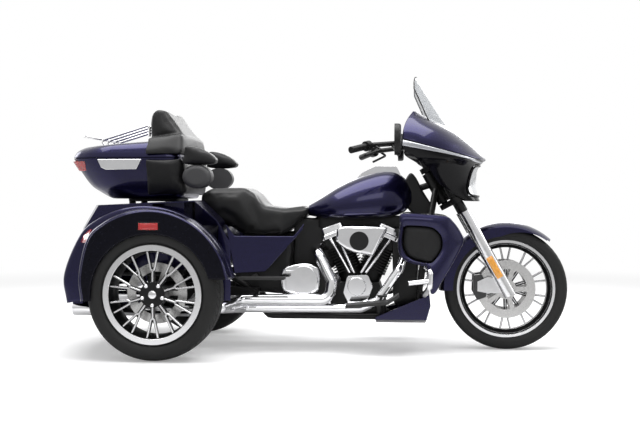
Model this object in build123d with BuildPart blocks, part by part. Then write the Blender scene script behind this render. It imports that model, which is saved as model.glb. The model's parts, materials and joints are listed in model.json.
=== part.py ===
from build123d import *
from math import cos, degrees, radians, sin, tan
import os

# A three-wheeled touring motorcycle: one steered front wheel, and two rear wheels under a wide body
# with a trunk and a top case. Millimetres. +X is forward, +Y is the rider's left, +Z is up.
# The floor is Z = 0, and the origin is on the floor, half way along the machine.

# Stance and wheels
LENGTH = 2620.0
WHEELBASE = 1734.0
TRACK = 1120.0
FRONT_TYRE_R = 319.3
FRONT_TYRE_W = 130.0
FRONT_LIP_R = 257.0
FRONT_SEAT_R = 241.5
REAR_TYRE_R = 325.4
REAR_TYRE_W = 215.0
REAR_LIP_R = 245.5
REAR_SEAT_R = 228.6
FRONT_X = LENGTH / 2 - FRONT_TYRE_R
REAR_X = FRONT_X - WHEELBASE
WHEEL_Y = TRACK / 2
SPOKES = 10
BEAD_INSET = 20.0
LIP_GAP = 1.0
LIP_FACE = 24.0
FIT_GAP = 0.3
FRONT_AXLE_R = 12.5
REAR_AXLE_R = 20.0
FRONT_HUB_HALF = 77.0
DISC_R = 150.0
DISC_T = 5.0

# Steering head and fork
RAKE = radians(29.0)
FORK_OFFSET = 60.0
LEG_Y = 125.0
SLIDER_R = 33.0
SLIDER_TOP_Z = 722.0
TUBE_R = 25.0
TUBE_TOP_Z = 962.0
LOW_CLAMP_Z = 755.0
HIGH_CLAMP_Z = 945.0
CLAMP_T = 28.0
HEAD_R = 34.0
STEM_R = 17.0
HEAD_END_GAP = 17.0
BAR_R = 13.0
BAR_Z = 1035.0
GRIP_R = 17.0

# Front fender
FENDER_CROWN_R = 349.0
FENDER_SIDE_Y = 82.0
FENDER_EDGE_R = 275.0
FENDER_T = 4.0
FENDER_FRONT_ANGLE = 48.0
FENDER_REAR_ANGLE = 182.0
FENDER_SWEEP = (75.0, 43.0)
FENDER_SWEEP_R = 252.5

# Rear body, trunk and rear fenders
BODY_HALF_W = 560.0
BOW_X = 197.0
BODY_SKIN = 5.0
WELL_R = 372.0
WELL_INNER_Y = 430.0
FENDER_HALF_W = 690.0
MOUTH_R = 300.0
TUB_HALF_W = 424.0
TUB_FLOOR_Z = 440.0
TUB_WALL = 6.0
TUB_FRONT_X = -640.0
BODY_FRONT_X = -470.0
BODY_RECESS_Y = 352.0
SEAT_POCKET_X = -622.0
SEAT_POCKET_Y = 203.0
SEAT_POCKET_Z = 655.2
DOOR_HALF_W = 330.0
DOOR_LOW_Z = 375.0
DOOR_HIGH_Z = 715.0
DOOR_T = 10.0
DOOR_GAP = 8.0
DOOR_PIVOT_X = -1304.0
DOOR_PIVOT_Z = 368.0
DOOR_BARREL_R = 6.0
DOOR_PIN_R = 3.0
RUNNING_GAP = 0.1

# Top case
CASE_FRONT_X = -690.0
CASE_WALL = 6.0
PAD_REAR_X = -871.0
PAD_T = 22.0
LID_PIVOT_Y = 342.0
LID_PIVOT_Z = 1001.5
LID_PIN_R = 5.0

# Engine
CRANK = (225.0, 270.0)
VEE = {"rear": radians(-21.5), "front": radians(23.5)}
BARREL_R = 64.0
BARREL_BASE = 90.0
HEAD_BASE = 290.0
ROCKER_BASE = 345.0
ROCKER_TOP = 408.0
FINS = 9
HEAD_SIDE_Y = 68.0
FIN_T = 5.0
FIN_HALF = 75.0
CASE_R = 103.0
CASE_HALF_W = 100.0

# Frame and exhaust
RAIL_R = 17.0
RAIL_BEND = 50.0
RAIL_Y = 120.0
RAIL_Z = 176.0
SUBFRAME_Z = 398.0
NECK_Z = 850.0
MUFFLER_R = 38.0
MUFFLER_Y = 380.0
MUFFLER_Z = 232.0

os.makedirs("parts", exist_ok=True)


def save(piece, name):
    """Labels a finished piece and writes it."""
    piece.label = name
    export_step(piece, f"parts/{name}.step")


def side_plane(y):
    """A sketch plane at depth y: its local x is +X, its local y is +Z, and it faces the right."""
    return Plane(origin=(0, y, 0), x_dir=(1, 0, 0), z_dir=(0, -1, 0))


def axis_plane(x, y, z):
    """A sketch plane square to a wheel's axle, with its origin on the axle."""
    return Plane(origin=(x, y, z), x_dir=(1, 0, 0), z_dir=(0, -1, 0))


def slab(points, y_low, y_high, corner=0.0, mode=Mode.ADD):
    """A side view outline in X and Z, given a width in Y."""
    with BuildSketch(side_plane(y_high)) as outline:
        with BuildLine():
            Polyline(*points, close=True)
        make_face()
        if corner:
            fillet(outline.vertices(), corner)
    extrude(outline.sketch, amount=y_high - y_low, mode=mode)


def plan(points, z_low, z_high, corner=0.0, mode=Mode.ADD):
    """A plan outline in X and Y, given a height in Z."""
    with BuildSketch(Plane.XY.offset(z_low)) as outline:
        with BuildLine():
            Polyline(*points, close=True)
        make_face()
        if corner:
            fillet(outline.vertices(), corner)
    extrude(outline.sketch, amount=z_high - z_low, mode=mode)


def block(x_range, y_range, z_range, mode=Mode.ADD):
    """A plain box between three pairs of limits."""
    corner = [(low + high) / 2 for low, high in (x_range, y_range, z_range)]
    size = [high - low for low, high in (x_range, y_range, z_range)]
    with Locations(tuple(corner)):
        Box(*size, mode=mode)


def rod(start, end, radius, mode=Mode.ADD):
    """A straight round bar between two points."""
    along = Vector(*end) - Vector(*start)
    with BuildSketch(Plane(origin=start, z_dir=along)) as section:
        Circle(radius)
    extrude(section.sketch, amount=along.length, mode=mode)


def tube(points, bend, radius, mode=Mode.ADD):
    """A round bar along straight runs joined by tangent bends: a run is drawn out, and a bend is turned."""
    with BuildLine() as path:
        FilletPolyline(*points, radius=bend)
    for run in path.edges():
        with BuildSketch(Plane(origin=run @ 0, z_dir=run % 0)) as section:
            Circle(radius)
        if run.geom_type == GeomType.LINE:
            extrude(section.sketch, amount=run.length, mode=mode)
        else:
            turn = Axis(run.arc_center, (run % 0).cross(run % 1))
            revolve(section.sketch, axis=turn, revolution_arc=degrees(run.length / bend), mode=mode)


def mirrored(piece):
    """The same piece on the other side of the machine."""
    return mirror(piece, about=Plane.XZ)


# Wheels
# Columns: height as a share from the rim's lip to the tread, half width as a share of the tyre's
TYRE_PROFILE = ((0.20, 0.93), (0.45, 1.0), (0.72, 0.975), (0.90, 0.83), (0.975, 0.50), (1.0, 0.18))


def tyre_ring(x, y, tyre_r, tyre_w, seat_r, lip_r):
    """A tyre as one ring: beads between the rim's flanges, bulging side walls and a round crown."""
    bead = tyre_w / 2 - BEAD_INSET
    half = [(seat_r + FIT_GAP, bead), (lip_r + LIP_GAP, bead)]
    half += [(lip_r + up * (tyre_r - lip_r), out * tyre_w / 2) for up, out in TYRE_PROFILE]
    with BuildPart() as ring:
        with BuildSketch(Plane(origin=(x, y, tyre_r), x_dir=(1, 0, 0), z_dir=(0, 0, 1))):
            with BuildLine():
                Polyline(*half, *[(r, -d) for r, d in reversed(half)], close=True)
            make_face()
        revolve(axis=Axis((x, y, tyre_r), (0, 1, 0)))
    return ring.part


def barrel_outline(tyre_w, seat_r, lip_r):
    """The rim's section as radius and depth: flanges, bead seats and the deep well between them."""
    bead = tyre_w / 2 - BEAD_INSET
    well = bead * 0.45
    upper = [
        (lip_r, bead + 7.0), (lip_r, bead + 0.5), (seat_r, bead + 0.2), (seat_r, well + 14.0),
        (seat_r - 18.0, well),
    ]
    lower = [
        (seat_r - 26.0, well + 4.0), (seat_r - 9.0, bead - 3.0), (lip_r - LIP_FACE, bead + 3.0),
    ]
    return upper + [(r, -d) for r, d in reversed(upper)] + [(r, -d) for r, d in reversed(lower)] + lower


def split_spoke(hub_r, fork_r, rim_r, arm=9.0):
    """A spoke with a stem that forks into two thin arms on their way to the rim, round a blunt notch."""
    spread = rim_r * 0.125
    half = [
        (hub_r, 11.0), (fork_r - 16.0, 7.5), (fork_r, 12.0), (rim_r, spread + arm / 2),
        (rim_r, spread - arm / 2), (fork_r + 8.0, 4.5),
    ]
    with BuildSketch() as spoke:
        with BuildLine():
            Polyline(*[(r, -d) for r, d in half], *reversed(half), close=True)
        make_face()
    return spoke.sketch


def cast_wheel(x, y, tyre_r, tyre_w, seat_r, lip_r, spoke_low, spoke_high, hub_r, hub_low, hub_high, fork_r):
    """A cast wheel in one piece: barrel, split spokes and hub, with depths counted from the wheel's centre."""
    with BuildPart() as wheel:
        with BuildSketch(Plane(origin=(x, y, tyre_r), x_dir=(1, 0, 0), z_dir=(0, 0, 1))):
            with BuildLine():
                Polyline(*barrel_outline(tyre_w, seat_r, lip_r), close=True)
            make_face()
        revolve(axis=Axis((x, y, tyre_r), (0, 1, 0)))
        with BuildSketch(axis_plane(x, y + hub_high, tyre_r)):
            Circle(hub_r)
        extrude(amount=hub_high - hub_low)
        spoke = split_spoke(hub_r * 0.8, fork_r, seat_r - 22.0)
        with BuildSketch(axis_plane(x, y + spoke_high, tyre_r)):
            with PolarLocations(0, SPOKES, start_angle=90):
                add(spoke)
        extrude(amount=spoke_high - spoke_low)
    return wheel.part


def brake_disc(x, y, z, bore, arms):
    """A brake disc with a ring that is held by an armed carrier."""
    carrier_r = bore + 30.0
    ring_r = DISC_R - 44.0
    with BuildPart() as disc:
        with BuildSketch(axis_plane(x, y + DISC_T / 2, z)):
            Circle(DISC_R)
            Circle(ring_r, mode=Mode.SUBTRACT)
            Circle(carrier_r)
            with PolarLocations((carrier_r + ring_r) / 2, arms):
                Rectangle(ring_r - carrier_r + 12.0, 24.0)
            Circle(bore, mode=Mode.SUBTRACT)
        extrude(amount=DISC_T)
    return disc.part


front_tyre = tyre_ring(FRONT_X, 0, FRONT_TYRE_R, FRONT_TYRE_W, FRONT_SEAT_R, FRONT_LIP_R)
save(front_tyre, "front_tyre")

with BuildPart() as front_rim:
    add(cast_wheel(FRONT_X, 0, FRONT_TYRE_R, FRONT_TYRE_W, FRONT_SEAT_R, FRONT_LIP_R,
                   -14.0, 14.0, 46.0, -FRONT_HUB_HALF, FRONT_HUB_HALF, 128.0))
    rod((FRONT_X, -100, FRONT_TYRE_R), (FRONT_X, 100, FRONT_TYRE_R), FRONT_AXLE_R + FIT_GAP,
        mode=Mode.SUBTRACT)
save(front_rim.part, "front_rim")

with BuildPart() as front_discs:
    add(brake_disc(FRONT_X, -FRONT_HUB_HALF - DISC_T / 2, FRONT_TYRE_R, 22.0, 5))
    mirror(about=Plane.XZ)
save(front_discs.part, "front_discs")

REAR_HUB_INNER = -12.0
REAR_HUB_OUTER = 84.0
REAR_BORE_END = 70.0
rear_tyre_right = tyre_ring(REAR_X, -WHEEL_Y, REAR_TYRE_R, REAR_TYRE_W, REAR_SEAT_R, REAR_LIP_R)
with BuildPart() as rear_rim_right:
    add(cast_wheel(REAR_X, -WHEEL_Y, REAR_TYRE_R, REAR_TYRE_W, REAR_SEAT_R, REAR_LIP_R,
                   -80.0, -54.0, 62.0, -REAR_HUB_OUTER, -REAR_HUB_INNER, 124.0))
    rod((REAR_X, -WHEEL_Y - REAR_BORE_END, REAR_TYRE_R), (REAR_X, -WHEEL_Y + 60, REAR_TYRE_R),
        REAR_AXLE_R + FIT_GAP, mode=Mode.SUBTRACT)
rear_disc_right = brake_disc(REAR_X, -WHEEL_Y - REAR_HUB_INNER + DISC_T / 2, REAR_TYRE_R, 26.0, 5)
for piece, name in (
    (rear_tyre_right, "rear_tyre"), (rear_rim_right.part, "rear_rim"), (rear_disc_right, "rear_disc"),
):
    save(piece, f"{name}_right")
    save(mirrored(piece), f"{name}_left")


# Steering head, fork and front axle
def axis_x(z):
    """The steering axis at height z."""
    return FRONT_X - FORK_OFFSET / cos(RAKE) - (z - FRONT_TYRE_R) * tan(RAKE)


def leg_x(z):
    """A fork leg's centre line at height z."""
    return FRONT_X - (z - FRONT_TYRE_R) * tan(RAKE)


def square_to_fork(x, y, z):
    """A plane square to the fork: its local x is forwards and up, and its local y is left."""
    return Plane(origin=(x, y, z), x_dir=(cos(RAKE), 0, sin(RAKE)), z_dir=(-sin(RAKE), 0, cos(RAKE)))


def clamp_plate(z):
    """One fork clamp: a plate round the stem and both legs."""
    with BuildSketch(square_to_fork(axis_x(z), 0, z).offset(-CLAMP_T / 2)) as outline:
        Circle(STEM_R + 16.0)
        with Locations((FORK_OFFSET, LEG_Y), (FORK_OFFSET, -LEG_Y)):
            Circle(TUBE_R + 13.0)
        with BuildLine():
            Polyline((-30, -30), (34, -LEG_Y), (92, -LEG_Y), (70, 0), (92, LEG_Y), (34, LEG_Y), (-30, 30),
                     close=True)
        make_face()
        with Locations((FORK_OFFSET, LEG_Y), (FORK_OFFSET, -LEG_Y)):
            Circle(TUBE_R + FIT_GAP, mode=Mode.SUBTRACT)
    extrude(outline.sketch, amount=CLAMP_T)


with BuildPart() as fork_clamps:
    clamp_plate(LOW_CLAMP_Z)
    clamp_plate(HIGH_CLAMP_Z)
    rod((axis_x(LOW_CLAMP_Z), 0, LOW_CLAMP_Z), (axis_x(HIGH_CLAMP_Z), 0, HIGH_CLAMP_Z), STEM_R)
save(fork_clamps.part, "fork_clamps")

with BuildPart() as fork_tubes:
    for side in (-1, 1):
        rod((leg_x(SLIDER_TOP_Z), side * LEG_Y, SLIDER_TOP_Z),
            (leg_x(TUBE_TOP_Z), side * LEG_Y, TUBE_TOP_Z), TUBE_R)
save(fork_tubes.part, "fork_tubes")

CALIPER_SEAT_Y = 100.0
with BuildPart() as fork_sliders:
    rod((leg_x(FRONT_TYRE_R - 28), -LEG_Y, FRONT_TYRE_R - 28), (leg_x(SLIDER_TOP_Z), -LEG_Y, SLIDER_TOP_Z),
        SLIDER_R)
    slab([(FRONT_X - 20, 300), (FRONT_X - 20, 372), (FRONT_X - 95, 385), (FRONT_X - 150, 360),
          (FRONT_X - 150, 310), (FRONT_X - 95, 300)], -112, -CALIPER_SEAT_Y)
    rod((leg_x(581), -LEG_Y, 581), (leg_x(581), -FENDER_SIDE_Y, 581), 16.0)
    mirror(about=Plane.XZ)
    rod((FRONT_X, -LEG_Y, FRONT_TYRE_R), (FRONT_X, LEG_Y, FRONT_TYRE_R), FRONT_AXLE_R)
    for side in (-1, 1):
        rod((FRONT_X, side * LEG_Y, FRONT_TYRE_R),
            (FRONT_X, side * (FRONT_HUB_HALF + FIT_GAP), FRONT_TYRE_R), 18.0)
save(fork_sliders.part, "fork_sliders")

with BuildPart() as front_calipers:
    slab([(FRONT_X - 168, 392), (FRONT_X - 128, 398), (FRONT_X - 104, 350), (FRONT_X - 104, 280),
          (FRONT_X - 150, 262), (FRONT_X - 172, 300)], -CALIPER_SEAT_Y, -60.0)
    rod((FRONT_X, -86.0, FRONT_TYRE_R), (FRONT_X, -73.0, FRONT_TYRE_R), DISC_R + 6.0, mode=Mode.SUBTRACT)
    mirror(about=Plane.XZ)
save(front_calipers.part, "front_calipers")

with BuildPart() as front_fender:
    with BuildSketch(Plane(origin=(FRONT_X, 0, FRONT_TYRE_R), x_dir=(1, 0, 0), z_dir=(0, 0, 1))):
        with BuildLine():
            outer_y = FENDER_SIDE_Y
            inner_y = FENDER_SIDE_Y - FENDER_T
            side_top = FENDER_CROWN_R - 26.0
            Line((FENDER_EDGE_R, -outer_y), (side_top, -outer_y))
            ThreePointArc((side_top, -outer_y), (FENDER_CROWN_R, 0), (side_top, outer_y))
            Line((side_top, outer_y), (FENDER_EDGE_R, outer_y))
            Line((FENDER_EDGE_R, outer_y), (FENDER_EDGE_R, inner_y))
            Line((FENDER_EDGE_R, inner_y), (side_top, inner_y))
            ThreePointArc((side_top, inner_y), (FENDER_CROWN_R - FENDER_T, 0), (side_top, -inner_y))
            Line((side_top, -inner_y), (FENDER_EDGE_R, -inner_y))
            Line((FENDER_EDGE_R, -inner_y), (FENDER_EDGE_R, -outer_y))
        make_face()
    revolve(axis=Axis((FRONT_X, 0, FRONT_TYRE_R), (0, -1, 0)),
            revolution_arc=FENDER_REAR_ANGLE - FENDER_FRONT_ANGLE)
FENDER_TURN = Axis((FRONT_X, 0, FRONT_TYRE_R), (0, -1, 0))
with BuildPart() as trimmed_fender:
    add(front_fender.part.rotate(FENDER_TURN, FENDER_FRONT_ANGLE))
    sweep_x, sweep_z = FRONT_X + FENDER_SWEEP[0], FRONT_TYRE_R + FENDER_SWEEP[1]
    rod((sweep_x, -LEG_Y, sweep_z), (sweep_x, LEG_Y, sweep_z), FENDER_SWEEP_R, mode=Mode.SUBTRACT)
save(trimmed_fender.part, "front_fender")

BAR_POINTS = [(205, 450, 1029), (298, 330, 1059), (470, 240, 1075), (532, 90, BAR_Z)]
BAR_LINE = BAR_POINTS + [(x, -y, z) for x, y, z in reversed(BAR_POINTS)]
with BuildPart() as handlebar:
    tube(BAR_LINE, 40.0, BAR_R)
    for side in (-1, 1):
        rod((axis_x(HIGH_CLAMP_Z) - 4, side * 26, HIGH_CLAMP_Z + 14), (532, side * 26, BAR_Z), 15.0)
    add(fork_clamps.part, mode=Mode.SUBTRACT)
save(handlebar.part, "handlebar")

GRIP_END = Vector(205, -450, 1029)
GRIP_ALONG = (Vector(298, -330, 1059) - GRIP_END).normalized()


def on_bar(distance, lift=0.0):
    """A point on the right end of the bar, counted inwards from its tip."""
    spot = GRIP_END + GRIP_ALONG * distance
    return (spot.X, spot.Y, spot.Z + lift)


with BuildPart() as hand_controls:
    rod(on_bar(0), on_bar(112), GRIP_R)
    rod(on_bar(112), on_bar(140), GRIP_R + 9.0)
    tube([(318, -322, 1056), (350, -346, 1034), (275, -440, 1003)], 14.0, 6.5)
    tube(BAR_LINE, 40.0, BAR_R + FIT_GAP, mode=Mode.SUBTRACT)
    mirror(about=Plane.XZ)
save(hand_controls.part, "hand_controls")


with BuildPart() as mirrors:
    with BuildSketch(Plane(origin=(418, -400, 1084), x_dir=(0, 1, 0), z_dir=(1, 0, 0))):
        Ellipse(62, 78)
    extrude(amount=32)
    fillet(faces().sort_by(Axis.X)[-1].edges(), 12)
    rod((425, -380, 1030), (400, -262, 1064), 7.0)
    tube(BAR_LINE, 40.0, BAR_R + FIT_GAP, mode=Mode.SUBTRACT)
    mirror(about=Plane.XZ)
save(mirrors.part, "mirrors")

# Fairing on the fork. Columns: height, rear edge x, nose x, half width
FAIRING_LEVELS = (
    (1234, 508, 540, 250), (1190, 480, 640, 320), (1140, 462, 728, 375), (1085, 456, 795, 400),
    (1040, 456, 843, 400), (996, 520, 887, 372), (982, 535, 874, 350), (945, 585, 847, 300),
    (855, 650, 836, 225), (778, 782, 858, 150),
)
FAIRING_SKIN = 5.0


def fairing_form(grow):
    """The fairing's outside, as half ellipses stacked up in height and moved outwards by grow."""
    with BuildPart() as form:
        for z, rear, nose, half in FAIRING_LEVELS:
            with BuildSketch(Plane.XY.offset(z + (grow if z == FAIRING_LEVELS[0][0] else 0))):
                with BuildLine():
                    arc = EllipticalCenterArc((rear, 0), nose - rear + grow, half + grow, start_angle=-90, arc_size=180)
                    Line(arc @ 1, arc @ 0)
                make_face()
        loft(ruled=True)
    return form.part


def fairing_shell():
    """The fairing's skin, open at the back and at the bottom."""
    with BuildPart() as skin:
        add(fairing_form(0))
        inner = fairing_form(-FAIRING_SKIN)
        add(inner, mode=Mode.SUBTRACT)
    return skin.part


LAMP_HALF_W = 150.0
LAMP_LOW_Z = 805.0
LAMP_HIGH_Z = 960.0
COLOUR_LINE = [(380, 1108), (960, 962)]
shell = fairing_shell()
with BuildPart() as fairing_outer:
    add(shell)
    slab([COLOUR_LINE[0], COLOUR_LINE[1], (960, 700), (380, 700)], -500, 500, mode=Mode.SUBTRACT)
save(fairing_outer.part, "fairing_outer")

with BuildPart() as fairing_lower:
    add(shell)
    slab([COLOUR_LINE[0], COLOUR_LINE[1], (960, 1300), (380, 1300)], -500, 500, mode=Mode.SUBTRACT)
    block((700, 950), (-LAMP_HALF_W, LAMP_HALF_W), (LAMP_LOW_Z, LAMP_HIGH_Z), mode=Mode.SUBTRACT)
save(fairing_lower.part, "fairing_lower")

with BuildPart() as headlamp:
    add(shell)
    block((700, 950), (-LAMP_HALF_W, LAMP_HALF_W), (LAMP_LOW_Z, LAMP_HIGH_Z), mode=Mode.INTERSECT)
save(headlamp.part, "headlamp")

with BuildPart() as fairing_inner:
    slab([(512, 1196), (530, 1222), (648, 1080), (648, 1014), (622, 1014), (622, 1072)], -390, 390)
    add(fairing_form(-FAIRING_SKIN - FIT_GAP), mode=Mode.INTERSECT)
    for side in (-1, 1):
        x = leg_x(TUBE_TOP_Z)
        rod((x, side * LEG_Y, TUBE_TOP_Z - 10), (x, side * LEG_Y, 1020), 10.0)
    add(fork_tubes.part, mode=Mode.SUBTRACT)
    add(fork_clamps.part, mode=Mode.SUBTRACT)
save(fairing_inner.part, "fairing_inner")

SCREEN_BASE = Vector(690, 0, 1168)
SCREEN_TOP = Vector(523, 0, 1432)
SCREEN_UP = (SCREEN_TOP - SCREEN_BASE).normalized()
SCREEN_OUT = Vector(SCREEN_UP.Z, 0, -SCREEN_UP.X)
SCREEN_HALF = 250.0
SCREEN_BOW_R = 420.0
SCREEN_T = 5.0
with BuildPart() as windscreen:
    with BuildSketch(Plane(origin=SCREEN_BASE, x_dir=SCREEN_OUT, z_dir=SCREEN_UP)):
        with Locations((-SCREEN_BOW_R, 0)):
            Circle(SCREEN_BOW_R)
            Circle(SCREEN_BOW_R - SCREEN_T, mode=Mode.SUBTRACT)
        with Locations((200 - 110, 0)):
            Rectangle(400, 2 * SCREEN_HALF, mode=Mode.INTERSECT)
    extrude(amount=(SCREEN_TOP - SCREEN_BASE).length)
    with BuildSketch(Plane(origin=SCREEN_BASE - SCREEN_OUT * 200, x_dir=(0, 1, 0), z_dir=SCREEN_OUT)) as sight:
        with BuildLine():
            Polyline((-250, -10), (250, -10), (240, 120), (170, 309), (-170, 309), (-240, 120), close=True)
        make_face()
        fillet(sight.vertices().group_by(Axis.Z)[-1], 90)
    extrude(amount=300, mode=Mode.INTERSECT)
    add(fairing_form(0.5), mode=Mode.SUBTRACT)
save(windscreen.part, "windscreen")

# Rear axle and its arms
AXLE_BEAM_R = 38.0
ARM_Y = 152.0
ARM_T = 22.0
PIVOT = (-322.0, 300.0)
PIVOT_R = 12.0
with BuildPart() as rear_axle:
    rod((REAR_X, -470, REAR_TYRE_R), (REAR_X, 470, REAR_TYRE_R), AXLE_BEAM_R)
    rod((REAR_X, -95, REAR_TYRE_R), (REAR_X, 95, REAR_TYRE_R), 92.0)
    rod((REAR_X, -WHEEL_Y - 66, REAR_TYRE_R), (REAR_X, WHEEL_Y + 66, REAR_TYRE_R), REAR_AXLE_R)
    for side in (-1, 1):
        rod((REAR_X, side * 470, REAR_TYRE_R), (REAR_X, side * 530, REAR_TYRE_R), 30.0)
        centre = side * ARM_Y
        slab([(REAR_X, 352), (REAR_X, 298), (PIVOT[0] - 20, PIVOT[1] - 22), (PIVOT[0] + 24, PIVOT[1] - 22),
              (PIVOT[0] + 24, PIVOT[1] + 22), (PIVOT[0] - 20, PIVOT[1] + 22)],
             centre - ARM_T / 2, centre + ARM_T / 2)
    rod((PIVOT[0], -200, PIVOT[1]), (PIVOT[0], 200, PIVOT[1]), PIVOT_R + FIT_GAP, mode=Mode.SUBTRACT)
save(rear_axle.part, "rear_axle")

# Frame
NECK_BORE = STEM_R + FIT_GAP
COVER_STAY_Y = 289.8
with BuildPart() as frame:
    for side in (-1, 1):
        y = side * RAIL_Y
        tube([(626, side * 30, 838), (588, y, 640), (542, y, 330), (536, y, RAIL_Z), (-250, y, RAIL_Z),
              (-370, y, 330), (-480, y, SUBFRAME_Z), (-1180, y, SUBFRAME_Z)], RAIL_BEND, RAIL_R)
        rod((-318, y, 262), (-318, side * 52, 566), 12.0)
        rod((-318, side * 78, 450), (-318, side * COVER_STAY_Y, 450), 9.0)
        block((205, 245), sorted((side * CASE_HALF_W, side * (CASE_HALF_W + 14))), (170, 188))
        rod((REAR_X + 40, y, SUBFRAME_Z), (REAR_X + 40, side * 330, SUBFRAME_Z), 14.0)
        rod((-1120, y, SUBFRAME_Z), (-1120, side * 330, SUBFRAME_Z), 14.0)
        for x in (REAR_X + 40, -1120):
            block((x - 30, x + 30), (side * 260 - 30, side * 260 + 30), (SUBFRAME_Z, TUB_FLOOR_Z - TUB_WALL))
    tube([(612, 0, 868), (20, 0, 692), (-110, 0, 606), (-335, 0, 566)], RAIL_BEND, RAIL_R)
    rod((-318, -72, 566), (-318, 72, 566), 15.0)
    rod((-250, -RAIL_Y, RAIL_Z), (-250, RAIL_Y, RAIL_Z), 14.0)
    rod((PIVOT[0], -172, PIVOT[1]), (PIVOT[0], 172, PIVOT[1]), PIVOT_R)
    rod((540, -RAIL_Y, 250), (540, RAIL_Y, 250), 12.0)
    rod((axis_x(LOW_CLAMP_Z + HEAD_END_GAP), 0, LOW_CLAMP_Z + HEAD_END_GAP),
        (axis_x(HIGH_CLAMP_Z - HEAD_END_GAP), 0, HIGH_CLAMP_Z - HEAD_END_GAP), HEAD_R)
    rod((axis_x(LOW_CLAMP_Z), 0, LOW_CLAMP_Z), (axis_x(HIGH_CLAMP_Z), 0, HIGH_CLAMP_Z), NECK_BORE,
        mode=Mode.SUBTRACT)
save(frame.part, "frame")


# Engine
def cylinder_plane(lean, distance):
    """A plane square to a cylinder's axis, at a distance from the crank."""
    x = CRANK[0] + distance * sin(lean)
    z = CRANK[1] + distance * cos(lean)
    return Plane(origin=(x, 0, z), x_dir=(cos(lean), 0, -sin(lean)), z_dir=(sin(lean), 0, cos(lean)))


with BuildPart() as engine_case:
    rod((CRANK[0], -CASE_HALF_W, CRANK[1]), (CRANK[0], CASE_HALF_W, CRANK[1]), CASE_R)
    slab([(90, 172), (362, 172), (362, 250), (330, 350), (130, 350), (60, 300)], -92, 92, corner=10)
save(engine_case.part, "engine_case")

FIN_FIRST = 158.0
FIN_PITCH = 15.0
FIN_CUT = 20.0


def cut_plate(width, depth, cut):
    """A rectangle with its corners cut off."""
    x, y = width / 2, depth / 2
    return [(x, y - cut), (x - cut, y), (cut - x, y), (-x, y - cut), (-x, cut - y), (cut - x, -y),
            (x - cut, -y), (x, cut - y)]


with BuildPart() as cylinders:
    for lean in VEE.values():
        with BuildSketch(cylinder_plane(lean, BARREL_BASE)):
            Circle(BARREL_R)
        extrude(amount=HEAD_BASE - BARREL_BASE)
        with BuildSketch(cylinder_plane(lean, HEAD_BASE)):
            RectangleRounded(2 * FIN_HALF - 12, 2 * HEAD_SIDE_Y, FIN_CUT)
        extrude(amount=ROCKER_BASE - HEAD_BASE)
        for row in range(FINS + 3):
            with BuildSketch(cylinder_plane(lean, FIN_FIRST + row * FIN_PITCH)):
                with BuildLine():
                    Polyline(*cut_plate(2 * FIN_HALF, 2 * FIN_HALF - 2, FIN_CUT), close=True)
                make_face()
            extrude(amount=FIN_T)
    add(engine_case.part, mode=Mode.SUBTRACT)
save(cylinders.part, "cylinders")

with BuildPart() as rocker_covers:
    for lean in VEE.values():
        with BuildSketch(cylinder_plane(lean, ROCKER_BASE)):
            RectangleRounded(2 * FIN_HALF - 6, 196, 24)
        extrude(amount=24)
        with BuildSketch(cylinder_plane(lean, ROCKER_BASE + 24)):
            RectangleRounded(2 * FIN_HALF - 22, 176, 20)
        extrude(amount=ROCKER_TOP - ROCKER_BASE - 24, taper=8)
save(rocker_covers.part, "rocker_covers")

CAM_CENTRE = (216.0, 334.0)
GEAR_COVER_CENTRE = (-60.0, 366.0)
with BuildPart() as engine_covers:
    with BuildSketch(side_plane(-CASE_HALF_W)):
        with BuildLine():
            Polyline((140, 300), (162, 392), (278, 400), (304, 330), (268, 236), (172, 232), close=True)
        make_face()
        fillet(vertices(), 24)
    extrude(amount=48, taper=6)
    with BuildSketch(side_plane(-CASE_HALF_W - 48)):
        with Locations(CAM_CENTRE):
            Circle(48)
    extrude(amount=18, taper=8)
    with BuildSketch(side_plane(-146)):
        with Locations(GEAR_COVER_CENTRE):
            Circle(78)
        with Locations((GEAR_COVER_CENTRE[0] - 36, GEAR_COVER_CENTRE[1])):
            Rectangle(120, 110)
    extrude(amount=46, taper=6)
save(engine_covers.part, "engine_covers")

# Columns: lean, foot x, head distance, head offset
PUSHRODS = (("rear", 176, -26), ("rear", 200, 14), ("front", 236, -14), ("front", 262, 26))
with BuildPart() as pushrod_tubes:
    for bank, foot_x, offset in PUSHRODS:
        head = cylinder_plane(VEE[bank], ROCKER_BASE).from_local_coords((offset, -87, 0))
        rod((foot_x, -118, 402), (head.X, head.Y, head.Z), 7.5)
    add(engine_covers.part, mode=Mode.SUBTRACT)
    add(rocker_covers.part, mode=Mode.SUBTRACT)
    add(engine_case.part, mode=Mode.SUBTRACT)
save(pushrod_tubes.part, "pushrod_tubes")

FILTER_CENTRE = (231.0, 572.0)
with BuildPart() as air_cleaner:
    with BuildSketch(side_plane(-128)):
        with BuildLine():
            Polyline((88, 590), (192, 650), (368, 628), (300, 494), (150, 508), close=True)
        make_face()
        fillet(vertices(), 22)
    extrude(amount=72, taper=7)
    rod((FILTER_CENTRE[0], -130, 540), (FILTER_CENTRE[0], -20, 540), 22)
    for x, z in ((130, 593), (331, 589)):
        rod((x, -130, z), (x, -HEAD_SIDE_Y, z), 6.5)
    add(rocker_covers.part, mode=Mode.SUBTRACT)
save(air_cleaner.part, "air_cleaner")

with BuildPart() as air_filter_disc:
    rod((FILTER_CENTRE[0], -200, FILTER_CENTRE[1]), (FILTER_CENTRE[0], -212, FILTER_CENTRE[1]), 49)
save(air_filter_disc.part, "air_filter_disc")

with BuildPart() as gearbox:
    slab([(-175, 250), (-175, 400), (-120, 440), (30, 440), (74, 400), (74, 240)], -146, 96, corner=16)
    add(engine_case.part, mode=Mode.SUBTRACT)
save(gearbox.part, "gearbox")


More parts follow.
